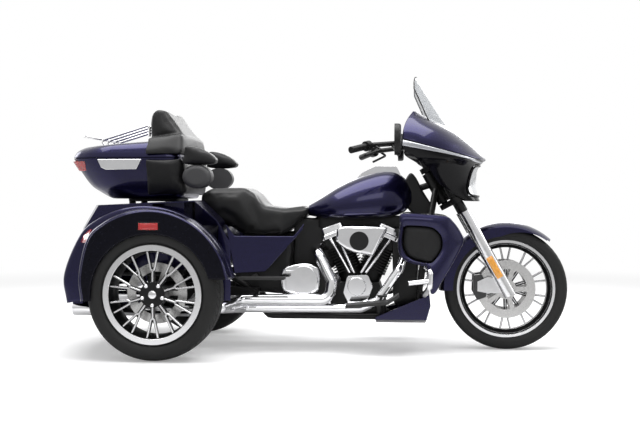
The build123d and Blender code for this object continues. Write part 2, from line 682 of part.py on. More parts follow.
with BuildPart() as primary_cover:
    with BuildSketch(side_plane(192)):
        with Locations((CRANK[0], 292), (-60, 304)):
            Circle(90)
        with BuildLine():
            Polyline((CRANK[0], 382), (-60, 394), (-60, 214), (CRANK[0], 202), close=True)
        make_face()
    extrude(amount=192 - CASE_HALF_W)
    fillet(faces().sort_by(Axis.Y)[-1].edges(), 18)
    add(engine_case.part, mode=Mode.SUBTRACT)
save(primary_cover.part, "primary_cover")

# Exhaust
PIPE_R = 23.0
SHIELD_R = 28.0
HEADER_BEND = 48.0
PIPE_BEND = 40.0
COLLECTOR_X = -520.0
with BuildPart() as exhaust_headers:
    tube([(30, -40, 537), (-4, -100, 528), (22, -196, 500), (92, -218, 365), (78, -232, 272), (-380, -240, 268),
          (-470, -MUFFLER_Y, MUFFLER_Z), (COLLECTOR_X, -MUFFLER_Y, MUFFLER_Z)], HEADER_BEND, SHIELD_R)
    tube([(428, -40, 528), (462, -100, 506), (440, -186, 430), (326, -204, 262), (240, -206, 226),
          (-360, -212, 222), (-470, -MUFFLER_Y, MUFFLER_Z), (COLLECTOR_X, -MUFFLER_Y, MUFFLER_Z)],
         PIPE_BEND, PIPE_R)
    tube([(-420, -320, MUFFLER_Z), (-440, -200, MUFFLER_Z), (-440, 200, MUFFLER_Z), (-470, MUFFLER_Y, MUFFLER_Z),
          (COLLECTOR_X, MUFFLER_Y, MUFFLER_Z)], PIPE_BEND, PIPE_R)
    for node in (cylinders, rocker_covers, engine_case, gearbox, frame):
        add(node.part, mode=Mode.SUBTRACT)
save(exhaust_headers.part, "exhaust_headers")

MUFFLER_END_X = -1218.0
with BuildPart() as mufflers:
    rod((COLLECTOR_X, -MUFFLER_Y, MUFFLER_Z), (MUFFLER_END_X, -MUFFLER_Y, MUFFLER_Z), MUFFLER_R)
    rod((MUFFLER_END_X, -MUFFLER_Y, MUFFLER_Z), (MUFFLER_END_X + 160, -MUFFLER_Y, MUFFLER_Z), MUFFLER_R - 5,
        mode=Mode.SUBTRACT)
    mirror(about=Plane.XZ)
save(mufflers.part, "mufflers")

# Tank. Columns: x, underside, top, half width
TANK_STATIONS = (
    (-42, 700, 758, 52), (20, 690, 797, 100), (110, 686, 854, 150), (220, 686, 903, 172),
    (330, 690, 932, 168), (410, 700, 930, 142), (462, 722, 898, 104), (492, 760, 858, 62),
)


def tank_form(grow=0.0):
    """The tank as arched sections joined along its length."""
    with BuildPart() as form:
        for x, low, top, half in TANK_STATIONS:
            middle = low + (top - low) * 0.38
            with BuildSketch(Plane(origin=(x, 0, 0), x_dir=(0, 1, 0), z_dir=(1, 0, 0))):
                with BuildLine():
                    ThreePointArc((-half - grow, middle), (0, top + grow), (half + grow, middle))
                    Line((half + grow, middle), (half * 0.8 + grow, low - grow))
                    Line((half * 0.8 + grow, low - grow), (-half * 0.8 - grow, low - grow))
                    Line((-half * 0.8 - grow, low - grow), (-half - grow, middle))
                make_face()
        loft(ruled=True)
    return form.part


with BuildPart() as tank:
    add(tank_form())
    slab([(-60, 600), (-60, 700), (20, 710.2), (612, 886.2), (612, 600)], -26, 26, mode=Mode.SUBTRACT)
    add(rocker_covers.part, mode=Mode.SUBTRACT)
save(tank.part, "tank")

with BuildPart() as tank_console:
    slab([(150, 840), (240, 930), (310, 962), (420, 960), (450, 900), (300, 860)], -48, 48, corner=14)
    add(tank_form(FIT_GAP), mode=Mode.SUBTRACT)
save(tank_console.part, "tank_console")

# Seat. Columns: x, underside, top, half width
SEAT_STATIONS = (
    (-615, 708, 824, 168), (-560, 684, 840, 190), (-470, 657, 842, 194), (-370, 602, 843, 196),
    (-310, 598, 806, 196), (-268, 598, 750, 196), (-165, 606, 736, 186), (-75, 690, 748, 132),
    (-42.3, 708, 762, 104),
)
SEAT_CORNER = 24.0
with BuildPart() as seat:
    for x, low, top, half in SEAT_STATIONS:
        with BuildSketch(Plane(origin=(x, 0, (low + top) / 2), x_dir=(0, 1, 0), z_dir=(1, 0, 0))):
            RectangleRounded(2 * half, top - low, SEAT_CORNER)
    loft(ruled=True)
    add(frame.part, mode=Mode.SUBTRACT)
    add(tank_form(FIT_GAP), mode=Mode.SUBTRACT)
save(seat.part, "seat")

with BuildPart() as side_covers:
    slab([(-442, 660), (-398, 600), (-106, 596), (-54, 662), (-60, 630), (-247, 415), (-400, 410)],
         -360, -180)
    plan([(-470, -338), (-300, -296), (-40, -206), (-40, -198), (-300, -288), (-470, -330)], 400, 700,
         mode=Mode.INTERSECT)
    mirror(about=Plane.XZ)
save(side_covers.part, "side_covers")

# Rear body. Columns: radius from the bow's centre, height
BODY_PROFILE = ((600, 782), (850, 782), (1352, 758), (1416, 645), (1481, 436), (1500, 365), (1494, 300),
                (1468, 272), (600, 272))
FRONT_SLOPE = ((-590, 790), (-475, 680), (-400, 540), (-355, 415), (-355, 250))


def body_form(inset):
    """The rear body's outside, moved inwards by inset on every side but the underside."""
    base = 272 - (20 if inset > 0 else 0)
    with BuildPart() as form:
        with BuildSketch(Plane(origin=(BOW_X, 0, 0), x_dir=(-1, 0, 0), z_dir=(0, 1, 0))):
            with BuildLine():
                top = [(r - inset, z - inset) for r, z in BODY_PROFILE[:3]]
                back = [(r - inset, z) for r, z in BODY_PROFILE[3:7]]
                Polyline((600, base), *top, *back, (BODY_PROFILE[7][0] - inset, base), close=True)
            make_face()
        revolve(axis=Axis((BOW_X, 0, 0), (0, 0, 1)), revolution_arc=60)
    turned = form.part.rotate(Axis((BOW_X, 0, 0), (0, 0, 1)), -30)
    with BuildPart() as clipped:
        add(turned)
        half = BODY_HALF_W - inset
        block((-1400, -200), (-half, half), (200, 800), mode=Mode.INTERSECT)
        slope = [(x - inset, z) for x, z in FRONT_SLOPE]
        slab([*slope, (100, 250), (100, 900), (-590 - inset, 900)], -600, 600, mode=Mode.SUBTRACT)
        recess = BODY_RECESS_Y + inset
        block((BODY_FRONT_X - inset, 0), (-recess, recess), (200, 900), mode=Mode.SUBTRACT)
        pocket = SEAT_POCKET_Y + inset
        block((SEAT_POCKET_X - inset, 0), (-pocket, pocket), (SEAT_POCKET_Z - inset, 900), mode=Mode.SUBTRACT)
    return clipped.part


outside = body_form(0)
with BuildPart() as lining:
    block((-1290, TUB_FRONT_X + TUB_WALL), (-TUB_HALF_W - TUB_WALL, TUB_HALF_W + TUB_WALL), (TUB_FLOOR_Z - TUB_WALL, 800))
    for side in (-1, 1):
        rod((REAR_X, side * WELL_INNER_Y, REAR_TYRE_R), (REAR_X, side * 560, REAR_TYRE_R), WELL_R + TUB_WALL)
    block((-1280, TUB_FRONT_X), (-TUB_HALF_W, TUB_HALF_W), (TUB_FLOOR_Z, 800), mode=Mode.SUBTRACT)
    add(outside, mode=Mode.INTERSECT)

DOOR_HINGE_Y = (-240.0, 200.0)
with BuildPart() as rear_body:
    add(outside)
    add(body_form(BODY_SKIN), mode=Mode.SUBTRACT)
    add(lining.part)
    for side in (-1, 1):
        rod((REAR_X, side * WELL_INNER_Y, REAR_TYRE_R), (REAR_X, side * 600, REAR_TYRE_R), WELL_R,
            mode=Mode.SUBTRACT)
        block((REAR_X - WELL_R, 0), sorted((side * WELL_INNER_Y, side * 600)), (200, REAR_TYRE_R),
              mode=Mode.SUBTRACT)
    block((TUB_FRONT_X, -300), (-BODY_RECESS_Y, BODY_RECESS_Y), (200, TUB_FLOOR_Z - TUB_WALL), mode=Mode.SUBTRACT)
    block((-1400, -1100), (-DOOR_HALF_W - DOOR_GAP, DOOR_HALF_W + DOOR_GAP),
          (DOOR_LOW_Z - DOOR_GAP, DOOR_HIGH_Z + DOOR_GAP), mode=Mode.SUBTRACT)
    for y in DOOR_HINGE_Y:
        block((DOOR_PIVOT_X, DOOR_PIVOT_X + 24), (y, y + 20), (DOOR_PIVOT_Z - 5, DOOR_PIVOT_Z - 1.5))
        rod((DOOR_PIVOT_X, y, DOOR_PIVOT_Z), (DOOR_PIVOT_X, y + 20, DOOR_PIVOT_Z), DOOR_BARREL_R)
        rod((DOOR_PIVOT_X, y, DOOR_PIVOT_Z), (DOOR_PIVOT_X, y + 40, DOOR_PIVOT_Z), DOOR_PIN_R)
save(rear_body.part, "rear_body")

with BuildPart() as trunk_door:
    add(outside)
    add(body_form(DOOR_T), mode=Mode.SUBTRACT)
    block((-1400, -1100), (-DOOR_HALF_W, DOOR_HALF_W), (DOOR_LOW_Z, DOOR_HIGH_Z), mode=Mode.INTERSECT)
    for y in DOOR_HINGE_Y:
        low, high = y + 20 + RUNNING_GAP, y + 40
        block((DOOR_PIVOT_X, DOOR_PIVOT_X + 30), (low, high), (DOOR_PIVOT_Z + 1.5, DOOR_PIVOT_Z + 12))
        rod((DOOR_PIVOT_X, low, DOOR_PIVOT_Z), (DOOR_PIVOT_X, high, DOOR_PIVOT_Z), DOOR_BARREL_R)
        rod((DOOR_PIVOT_X, low, DOOR_PIVOT_Z), (DOOR_PIVOT_X, high, DOOR_PIVOT_Z),
            DOOR_PIN_R + RUNNING_GAP, mode=Mode.SUBTRACT)
save(trunk_door.part, "trunk_door")

# Rear fenders. Columns: depth, front foot, crown, rear shoulder, rear middle, rear foot
FENDER_SECTIONS = (
    (560, (-352, 405), (-735, 748), (-1125, 612), (-1205, 380), (-1188, 276)),
    (655, (-363, 405), (-737, 742), (-1070, 604), (-1126, 396), (-1116, 290)),
    (690, (-371, 405), (-737, 727), (-1043, 592), (-1080, 400), (-1074, 300)),
)


def fender_form(inset):
    """A rear fender's outside on the left, moved inwards by inset."""
    with BuildPart() as form:
        for depth, foot, crown, shoulder, middle, heel in FENDER_SECTIONS:
            y = depth - (inset if depth == FENDER_HALF_W else 0)
            with BuildSketch(side_plane(y)):
                with BuildLine():
                    ThreePointArc((foot[0] - inset, foot[1] - inset), (crown[0], crown[1] - inset),
                                  (shoulder[0] + inset, shoulder[1] - inset))
                    Line((shoulder[0] + inset, shoulder[1] - inset), (middle[0] + inset, middle[1]))
                    Line((middle[0] + inset, middle[1]), (heel[0] + inset, heel[1] - inset))
                    Line((heel[0] + inset, heel[1] - inset), (foot[0] - inset, foot[1] - inset))
                make_face()
        loft(ruled=True)
    return form.part


fender_solid = fender_form(0)
LAMP_X = (-1200.0, -1050.0)
LAMP_Y = (598.0, 676.0)
LAMP_Z = (575.0, 640.0)
with BuildPart() as rear_fenders:
    add(fender_solid)
    add(fender_form(BODY_SKIN), mode=Mode.SUBTRACT)
    rod((REAR_X, 600, REAR_TYRE_R), (REAR_X, 720, REAR_TYRE_R), MOUTH_R, mode=Mode.SUBTRACT)
    block((REAR_X - MOUTH_R, -200), (550, 720), (200, REAR_TYRE_R), mode=Mode.SUBTRACT)
    block(LAMP_X, LAMP_Y, LAMP_Z, mode=Mode.SUBTRACT)
    mirror(about=Plane.XZ)
save(rear_fenders.part, "rear_fenders")

with BuildPart() as rear_lamps:
    add(fender_solid)
    block(LAMP_X, LAMP_Y, LAMP_Z, mode=Mode.INTERSECT)
    block((-798, -703), (FENDER_HALF_W, FENDER_HALF_W + 4), (640, 673))
    mirror(about=Plane.XZ)

# Top case. Columns: height, rear x, rear half width, shoulder x, half width
CASE_LEVELS = ((790, -1105, 170, -960, 250), (862, -1200, 200, -1060, 285), (1000, -1283, 235, -1140, 310))
LID_LEVELS = ((1003, -1283, 235, -1140, 310), (1034, -1272, 226, -1132, 304))
LID_TOP = (1058.0, -1238, 185, -1110, 262)
LID_TOP_SLOPE = radians(4.2)
CASE_CORNER = 38.0


def case_outline(rear, rear_half, shoulder, half, front, grow):
    """Half a plan of the top case from its rear corner to its front corner, with its mirror image."""
    right = [(rear - grow, -rear_half - grow * 0.6), (shoulder - grow * 0.4, -half - grow),
             (front + grow, -half - grow)]
    return right + [(x, -y) for x, y in reversed(right)]


def case_form(grow, top=0.0):
    """The top case's base, moved outwards by grow."""
    with BuildPart() as form:
        for z, rear, rear_half, shoulder, half in CASE_LEVELS:
            lift = -grow if z == CASE_LEVELS[0][0] else (top if z == CASE_LEVELS[-1][0] else 0)
            with BuildSketch(Plane.XY.offset(z + lift)) as level:
                with BuildLine():
                    Polyline(*case_outline(rear, rear_half, shoulder, half, CASE_FRONT_X, grow), close=True)
                make_face()
                fillet(level.vertices(), CASE_CORNER)
        loft(ruled=True)
    return form.part


def lid_form(grow, low=0.0):
    """The top case's lid, moved outwards by grow."""
    with BuildPart() as form:
        for z, rear, rear_half, shoulder, half in LID_LEVELS:
            drop = low if z == LID_LEVELS[0][0] else 0
            with BuildSketch(Plane.XY.offset(z - drop)) as level:
                with BuildLine():
                    Polyline(*case_outline(rear, rear_half, shoulder, half, CASE_FRONT_X, grow), close=True)
                make_face()
                fillet(level.vertices(), CASE_CORNER)
        z, rear, rear_half, shoulder, half = LID_TOP
        slope = Plane(origin=(rear, 0, z + grow), x_dir=(cos(LID_TOP_SLOPE), 0, sin(LID_TOP_SLOPE)),
                      z_dir=(-sin(LID_TOP_SLOPE), 0, cos(LID_TOP_SLOPE)))
        with BuildSketch(slope) as level:
            with BuildLine():
                outline = case_outline(rear, rear_half, shoulder, half, CASE_FRONT_X - 8, grow)
                Polyline(*[(x - rear, y) for x, y in outline], close=True)
            make_face()
            fillet(level.vertices(), CASE_CORNER)
        loft(ruled=True)
    return form.part


case_outer = case_form(0)
case_inner = case_form(-CASE_WALL, top=5)
case_seat = case_form(FIT_GAP)
lid_outer = lid_form(0)
lid_inner = lid_form(-CASE_WALL, low=5)
lid_seat = lid_form(FIT_GAP)

# Columns: barrel start x, barrel end x. The lid's barrels lie between the base's.
HINGE_X = ((-1110, -1070), (-960, -920))
LEAF_T = 5.0
with BuildPart() as top_case_base:
    add(case_outer)
    add(case_inner, mode=Mode.SUBTRACT)
    for low, high in HINGE_X:
        block((low, high), (290, LID_PIVOT_Y), (LID_PIVOT_Z - 10, LID_PIVOT_Z - 2.5))
        rod((low, LID_PIVOT_Y, LID_PIVOT_Z), (high, LID_PIVOT_Y, LID_PIVOT_Z), 10.0)
        rod((low - 36, LID_PIVOT_Y, LID_PIVOT_Z), (high, LID_PIVOT_Y, LID_PIVOT_Z), LID_PIN_R)
    add(case_inner, mode=Mode.SUBTRACT)
save(top_case_base.part, "top_case_base")

with BuildPart() as top_case_lid:
    add(lid_outer)
    add(lid_inner, mode=Mode.SUBTRACT)
    for low, _ in HINGE_X:
        block((low - 36, low - 1), (300, LID_PIVOT_Y), (LID_PIVOT_Z + 2.5, LID_PIVOT_Z + 10))
        rod((low - 36, LID_PIVOT_Y, LID_PIVOT_Z), (low - 1, LID_PIVOT_Y, LID_PIVOT_Z), 10.0)
        rod((low - 40, LID_PIVOT_Y, LID_PIVOT_Z), (low, LID_PIVOT_Y, LID_PIVOT_Z), LID_PIN_R + FIT_GAP,
            mode=Mode.SUBTRACT)
    add(lid_inner, mode=Mode.SUBTRACT)
save(top_case_lid.part, "top_case_lid")

with BuildPart() as back_pad_lower:
    add(case_form(PAD_T))
    block((PAD_REAR_X, -500), (-400, 400), (802, 999), mode=Mode.INTERSECT)
    add(case_seat, mode=Mode.SUBTRACT)
save(back_pad_lower.part, "back_pad_lower")

with BuildPart() as back_pad_upper:
    add(lid_form(PAD_T))
    block((PAD_REAR_X, -500), (-400, 400), (1005, 1200), mode=Mode.INTERSECT)
    slab([(-872, 1092), (-872, 1180), (-862, 1240), (-835, 1262), (-795, 1258), (-700, 1130), (-668, 1060),
          (-668, 1010), (-720, 1010)], -215, 215, corner=8)
    add(lid_seat, mode=Mode.SUBTRACT)
save(back_pad_upper.part, "back_pad_upper")

with BuildPart() as armrests:
    slab([(-668, 964.3), (-668, 998), (-659, 998), (-659, 1066), (-600, 1056), (-520, 1024), (-484, 992),
          (-494, 964.3)], -345, -262)
    add(case_form(PAD_T + FIT_GAP), mode=Mode.SUBTRACT)
    add(lid_form(PAD_T + 6), mode=Mode.SUBTRACT)
    mirror(about=Plane.XZ)
save(armrests.part, "armrests")

with BuildPart() as speaker_pods:
    with BuildSketch(side_plane(-262)):
        with Locations((-591.7, 903)):
            Ellipse(76, 61)
    extrude(amount=86)
    fillet(faces().sort_by(Axis.Y)[0].edges(), 26)
    add(case_form(PAD_T + FIT_GAP), mode=Mode.SUBTRACT)
    mirror(about=Plane.XZ)
save(speaker_pods.part, "speaker_pods")

with BuildPart() as top_case_mount:
    for x in (-985, -790):
        for y in (-120, 120):
            with Locations((x, y, 765)):
                Cylinder(18, 50)
    add(body_form(-FIT_GAP), mode=Mode.SUBTRACT)
    add(case_outer, mode=Mode.SUBTRACT)
save(top_case_mount.part, "top_case_mount")

with BuildPart() as case_latch:
    slab([(-1116, 994), (-1096, 952), (-1070, 940), (-910, 940), (-884, 994)], -322, -280)
    add(case_seat, mode=Mode.SUBTRACT)
    block((-1200, -800), (-305, 0), (900, 1010), mode=Mode.SUBTRACT)
save(case_latch.part, "case_latch")

with BuildPart() as case_lamps:
    add(case_form(4))
    block((-1300, -1196), (-400, -110), (936, 986), mode=Mode.INTERSECT)
    add(case_seat, mode=Mode.SUBTRACT)
    mirror(about=Plane.XZ)
    add(rear_lamps.part)
save(case_lamps.part, "rear_lamps")

RACK_R = 7.0
RACK_BEND = 12.0
with BuildPart() as luggage_rack:
    for y in (-150, -50, 50, 150):
        tube([(-1120, y, 1066), (-1145, y, 1100), (-884, y, 1180), (-884, y, 1120)], RACK_BEND, RACK_R)
    rod((-1130, -150, 1105), (-1130, 150, 1105), RACK_R)
    rod((-900, -150, 1175), (-900, 150, 1175), RACK_R)
    tube([(-1130, -120, 1105), (-1262, -90, 1128), (-1262, 90, 1128), (-1130, 120, 1105)], 30.0, RACK_R)
    add(lid_seat, mode=Mode.SUBTRACT)
save(luggage_rack.part, "luggage_rack")

# Front lowers, spoiler and guard
with BuildPart() as leg_fairings:
    slab([(448, 711), (674, 696), (707, 667), (760, 586), (614, 326), (590, 326), (600, 452), (648, 500),
          (655, 600), (600, 652), (448, 652)], -400, -150)
    plan([(430, -150), (600, -150), (672, -215), (762, -290), (762, -400), (600, -402), (430, -385)],
         300, 730, mode=Mode.INTERSECT)
    mirror(about=Plane.XZ)
save(leg_fairings.part, "leg_fairings")

with BuildPart() as lower_pods:
    slab([(448, 648), (596, 648), (648, 598), (641, 502), (592, 456), (470, 470), (440, 520)], -388, -240,
         corner=6)
    mirror(about=Plane.XZ)
save(lower_pods.part, "lower_pods")

SPOILER_BASE_Z = 146.0
SPOILER_SIDE_Z = 167.0
SPOILER_HALF_W = 200.0
SPOILER_WALL = 6.0


def spoiler_section(inset):
    """The chin spoiler's section over the full length: a flat base with its sides turned up."""
    half = SPOILER_HALF_W - inset
    keel = RAIL_Y + 18 - inset
    with BuildPart() as form:
        with BuildSketch(Plane(origin=(300, 0, 0), x_dir=(0, 1, 0), z_dir=(1, 0, 0))):
            with BuildLine():
                Polyline((-half, 400), (-half, SPOILER_SIDE_Z + inset), (-keel, SPOILER_BASE_Z + inset),
                         (keel, SPOILER_BASE_Z + inset), (half, SPOILER_SIDE_Z + inset), (half, 400), close=True)
            make_face()
        extrude(amount=320)
    return form.part


with BuildPart() as spoiler_inside:
    slab([(300, 146), (300, 300), (592, 404), (590, 240), (566, 146)], -200, 200)
    add(spoiler_section(SPOILER_WALL), mode=Mode.INTERSECT)

with BuildPart() as chin_spoiler:
    slab([(315, 146), (315, 180), (592, 296), (598, 240), (572, 146)], -200, 200)
    add(spoiler_section(0), mode=Mode.INTERSECT)
    add(spoiler_inside.part, mode=Mode.SUBTRACT)
    for side in (-1, 1):
        block((350, 480), (side * RAIL_Y - 9, side * RAIL_Y + 9), (150, RAIL_Z - RAIL_R - FIT_GAP))
save(chin_spoiler.part, "chin_spoiler")

with BuildPart() as engine_guard:
    tube([(575, -330, 443), (596, -398, 432), (592, -398, 352), (566, -330, 308), (542, -137.4, 308)], 24.0, 14.0)
    rod((592, -398, 384), (488, -408, 372), 13.0)
    for node in (leg_fairings, lower_pods, frame):
        add(node.part, mode=Mode.SUBTRACT)
    mirror(about=Plane.XZ)
save(engine_guard.part, "engine_guard")

with BuildPart() as footboards:
    slab([(172, 240), (172, 256), (380, 276), (437, 312), (441, 298), (384, 260)], -376, -246)
    rod((335, -137.4, 182), (335, -250, 252), 11.0)
    rod((335, -232, 240), (350, -232, 292), 7.0)
    block((328, 376), (-262, -214), (288, 297))
    mirror(about=Plane.XZ)
    for node in (frame, exhaust_headers, primary_cover):
        add(node.part, mode=Mode.SUBTRACT)
save(footboards.part, "footboards")

with BuildPart() as passenger_boards:
    slab([(-377, 378), (-377, 392), (-143, 392), (-143, 378)], -345, -262)
    rod((-318, -107.9, 384), (-318, -270, 384), 11.0)
    mirror(about=Plane.XZ)
    for node in (frame, gearbox, side_covers):
        add(node.part, mode=Mode.SUBTRACT)
save(passenger_boards.part, "passenger_boards")
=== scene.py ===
# %% [markdown]
# A touring trike stands in a white studio: one steered wheel in front, a painted body over two wheels
# behind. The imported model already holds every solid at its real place, so this lesson only dresses it.
# Each cell takes one piece or one finish, says what it is on the real machine, and then makes it.

# %% Load the frame
import json
import math

import bmesh
import bpy
import numpy as np
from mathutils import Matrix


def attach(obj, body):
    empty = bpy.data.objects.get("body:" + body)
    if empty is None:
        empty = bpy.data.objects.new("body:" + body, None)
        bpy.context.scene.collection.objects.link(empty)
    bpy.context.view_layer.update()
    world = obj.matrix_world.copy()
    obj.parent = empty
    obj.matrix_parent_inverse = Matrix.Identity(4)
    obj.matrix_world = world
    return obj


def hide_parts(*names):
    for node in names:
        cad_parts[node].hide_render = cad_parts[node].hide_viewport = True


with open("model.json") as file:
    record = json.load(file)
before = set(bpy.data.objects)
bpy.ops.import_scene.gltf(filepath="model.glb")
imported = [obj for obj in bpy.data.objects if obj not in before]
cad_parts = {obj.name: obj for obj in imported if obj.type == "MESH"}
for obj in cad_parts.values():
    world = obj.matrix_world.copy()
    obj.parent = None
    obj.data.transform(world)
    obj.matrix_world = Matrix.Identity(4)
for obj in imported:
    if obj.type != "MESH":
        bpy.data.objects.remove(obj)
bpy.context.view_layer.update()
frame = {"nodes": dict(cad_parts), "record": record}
NODES = frame["nodes"]

# %% [markdown]
# The picture was taken from the machine's right, a little behind its middle and at the height of the seat,
# with a long lens. Those few numbers place the camera. Metres and degrees are used everywhere.

# %% Camera
EYE = (0.549, -5.607, 0.7825)
TURN_TO_REAR = 5.5
LOOK_DOWN = 0.7
LENS = 59.06
camera_data = bpy.data.cameras.new("camera")
camera_data.lens = LENS
camera_data.sensor_width = 36.0
camera = bpy.data.objects.new("camera", camera_data)
camera.location = EYE
camera.rotation_euler = (math.radians(90.0 - LOOK_DOWN), 0.0, math.radians(TURN_TO_REAR))
bpy.context.scene.collection.objects.link(camera)
bpy.context.scene.camera = camera
print("camera", EYE, LENS)

# %% [markdown]
# A photographer lights glossy paint with one large soft box overhead and keeps the side of the room dark,
# so that upright panels stay deep and only the upper curves shine. Area lamps do that here. The world is
# white where the camera looks at it, a little darker on the near side where a mirror looks at it, and only a
# weak fill on everything matt.

# %% Lamps and world
# Columns: name, place, point looked at, width, length, power
LAMPS = (
    ("soft_box", (0.0, -0.5, 3.4), (0.0, -0.2, 0.5), 5.0, 2.4, 190.0),
    ("side_fill", (0.6, -5.2, 3.0), (0.0, 0.0, 0.6), 4.0, 1.6, 40.0),
    ("rear_fill", (-4.2, 1.6, 2.2), (-0.6, 0.0, 0.6), 1.6, 2.0, 45.0),
    ("front_fill", (4.2, 1.2, 2.2), (0.6, 0.0, 0.6), 1.6, 2.0, 45.0),
    ("far_fill", (0.0, 4.6, 2.4), (0.0, 0.0, 0.6), 4.0, 1.6, 70.0),
)


def soft_lamp(name, place, target, width, length, power):
    """A rectangular area lamp at a place, turned towards a target."""
    data = bpy.data.lights.new(name, "AREA")
    data.shape = "RECTANGLE"
    data.size, data.size_y, data.energy = width, length, power
    lamp = bpy.data.objects.new(name, data)
    aim = np.array(target) - np.array(place)
    lamp.location = place
    flat = math.hypot(aim[0], aim[1])
    lamp.rotation_euler = (math.atan2(flat, -aim[2]), 0.0, math.atan2(-aim[0], aim[1]))
    bpy.context.scene.collection.objects.link(lamp)


for row in LAMPS:
    soft_lamp(*row)

FILL = 0.30
NEAR_GLOW = 0.55
# How high, and how far to the far side, a mirror's ray has to point before the room is white there
ROOM_RISE = (0.05, 0.75)
ROOM_SIDE = (-0.75, 0.1)
world = bpy.data.worlds.new("studio")
bpy.context.scene.world = world
world.use_nodes = True


def wired(tree, kind, inputs=(), **settings):
    """Adds one node, gives it its settings, and links or sets its inputs, given as (socket, value) pairs."""
    node = tree.nodes.new(kind)
    for key, value in settings.items():
        setattr(node, key, value)
    for socket, value in inputs:
        if isinstance(value, bpy.types.NodeSocket):
            tree.links.new(value, node.inputs[socket])
        else:
            node.inputs[socket].default_value = value
    return node


def ramp(tree, value, between, to):
    """A straight ramp: value runs between two numbers and the result runs to two others."""
    return wired(tree, "ShaderNodeMapRange", [(0, value), (1, between[0]), (2, between[1]), (3, to[0]),
                                              (4, to[1])]).outputs[0]


def studio_world(tree):
    """White to the camera and through glass, a room with a dark near side in mirrors, and a weak fill."""
    rays = wired(tree, "ShaderNodeLightPath")
    direction = wired(tree, "ShaderNodeTexCoord").outputs["Generated"]
    parts = wired(tree, "ShaderNodeSeparateXYZ", [(0, direction)])
    height = ramp(tree, parts.outputs["Z"], ROOM_RISE, (0.0, 1.0))
    near = ramp(tree, parts.outputs["Y"], ROOM_SIDE, (0.0, 1.0))
    room = wired(tree, "ShaderNodeMath", [(0, height), (1, near)], operation="MAXIMUM")
    glow = ramp(tree, room.outputs[0], (0.0, 1.0), (NEAR_GLOW, 1.0))
    mirror = wired(tree, "ShaderNodeMix", [(0, rays.outputs["Is Glossy Ray"]), (2, FILL), (3, glow)])
    seen = wired(tree, "ShaderNodeMath", [(0, rays.outputs["Is Camera Ray"]),
                                          (1, rays.outputs["Is Transmission Ray"])], operation="MAXIMUM")
    level = wired(tree, "ShaderNodeMix", [(0, seen.outputs[0]), (2, mirror.outputs[0]), (3, 1.0)])
    background = tree.nodes["Background"]
    background.inputs["Color"].default_value = (1.0, 1.0, 1.0, 1.0)
    tree.links.new(level.outputs[0], background.inputs["Strength"])


studio_world(world.node_tree)
bpy.context.scene.view_settings.view_transform = "Standard"
print("lamps", len(LAMPS))

# %% [markdown]
# The floor is matt and pale. It only has to catch the soft shadow: a little glow towards the camera lifts
# the open floor to the white of the room, and the shadow stays as the part that the lamps don't reach.
# Past a few metres the lamps fade, so the glow takes over there and the floor runs into the white room.
# Mirrors see that far floor as bright as the room's near side, so upright chrome isn't black.

# %% Floor
FLOOR_HALF = 40.0
FLOOR_GLOW = 0.30
FADE_NEAR = 2.6
FADE_FAR = 7.0


def floor_material():
    """Matt white with a faint mottle, plus a glow for the camera, for mirrors and through glass."""
    made = bpy.data.materials.new("studio_floor")
    made.use_nodes = True
    tree = made.node_tree
    tree.nodes.clear()
    place = wired(tree, "ShaderNodeTexCoord").outputs["Object"]
    mottle = wired(tree, "ShaderNodeTexNoise", [("Vector", place), ("Scale", 1.5), ("Detail", 2.0)])
    tone = wired(tree, "ShaderNodeMix", [(0, mottle.outputs[0]), (6, (0.80, 0.80, 0.81, 1.0)),
                                         (7, (0.84, 0.84, 0.84, 1.0))], data_type="RGBA")
    reach = wired(tree, "ShaderNodeVectorMath", [(0, place)], operation="LENGTH")
    fade = wired(tree, "ShaderNodeMapRange", [(0, reach.outputs["Value"]), (1, FADE_NEAR), (2, FADE_FAR),
                                              (3, 0.0), (4, 1.0)], interpolation_type="SMOOTHSTEP")
    kept = wired(tree, "ShaderNodeMix", [(0, fade.outputs[0]), (6, tone.outputs[2]),
                                         (7, (0.0, 0.0, 0.0, 1.0))], data_type="RGBA")
    matt = wired(tree, "ShaderNodeBsdfDiffuse", [("Color", kept.outputs[2])])
    rays = wired(tree, "ShaderNodeLightPath")
    seen = wired(tree, "ShaderNodeMath", [(0, rays.outputs["Is Camera Ray"]),
                                          (1, rays.outputs["Is Transmission Ray"])], operation="MAXIMUM")
    level = wired(tree, "ShaderNodeMix", [(0, fade.outputs[0]), (2, FLOOR_GLOW), (3, 1.0)])
    glow_level = wired(tree, "ShaderNodeMath", [(0, seen.outputs[0]), (1, level.outputs[0])],
                       operation="MULTIPLY")
    mirrored_part = wired(tree, "ShaderNodeMath", [(0, rays.outputs["Is Glossy Ray"]), (1, fade.outputs[0])],
                          operation="MULTIPLY")
    total = wired(tree, "ShaderNodeMath", [(0, mirrored_part.outputs[0]), (1, NEAR_GLOW),
                                           (2, glow_level.outputs[0])], operation="MULTIPLY_ADD")
    glow = wired(tree, "ShaderNodeEmission", [("Strength", total.outputs[0])])
    both = wired(tree, "ShaderNodeAddShader", [(0, matt.outputs[0]), (1, glow.outputs[0])])
    wired(tree, "ShaderNodeOutputMaterial", [("Surface", both.outputs[0])])
    return made


floor_mesh = bpy.data.meshes.new("floor")
floor_mesh.from_pydata(
    [(-FLOOR_HALF, -FLOOR_HALF, 0), (FLOOR_HALF, -FLOOR_HALF, 0), (FLOOR_HALF, FLOOR_HALF, 0),
     (-FLOOR_HALF, FLOOR_HALF, 0)], [], [(0, 1, 2, 3)])
floor_mesh.materials.append(floor_material())
floor = bpy.data.objects.new("floor", floor_mesh)
bpy.context.scene.collection.objects.link(floor)

# %% [markdown]
# Almost every finish on the machine is one pattern read three ways: it varies the colour a little, it varies
# the roughness a little, and it raises the surface a little. One function makes such a finish, from a
# noise or a cell pattern on Object coordinates, so that the pattern stays on its piece when it moves.

# %% Finishes
FINISHES = {}


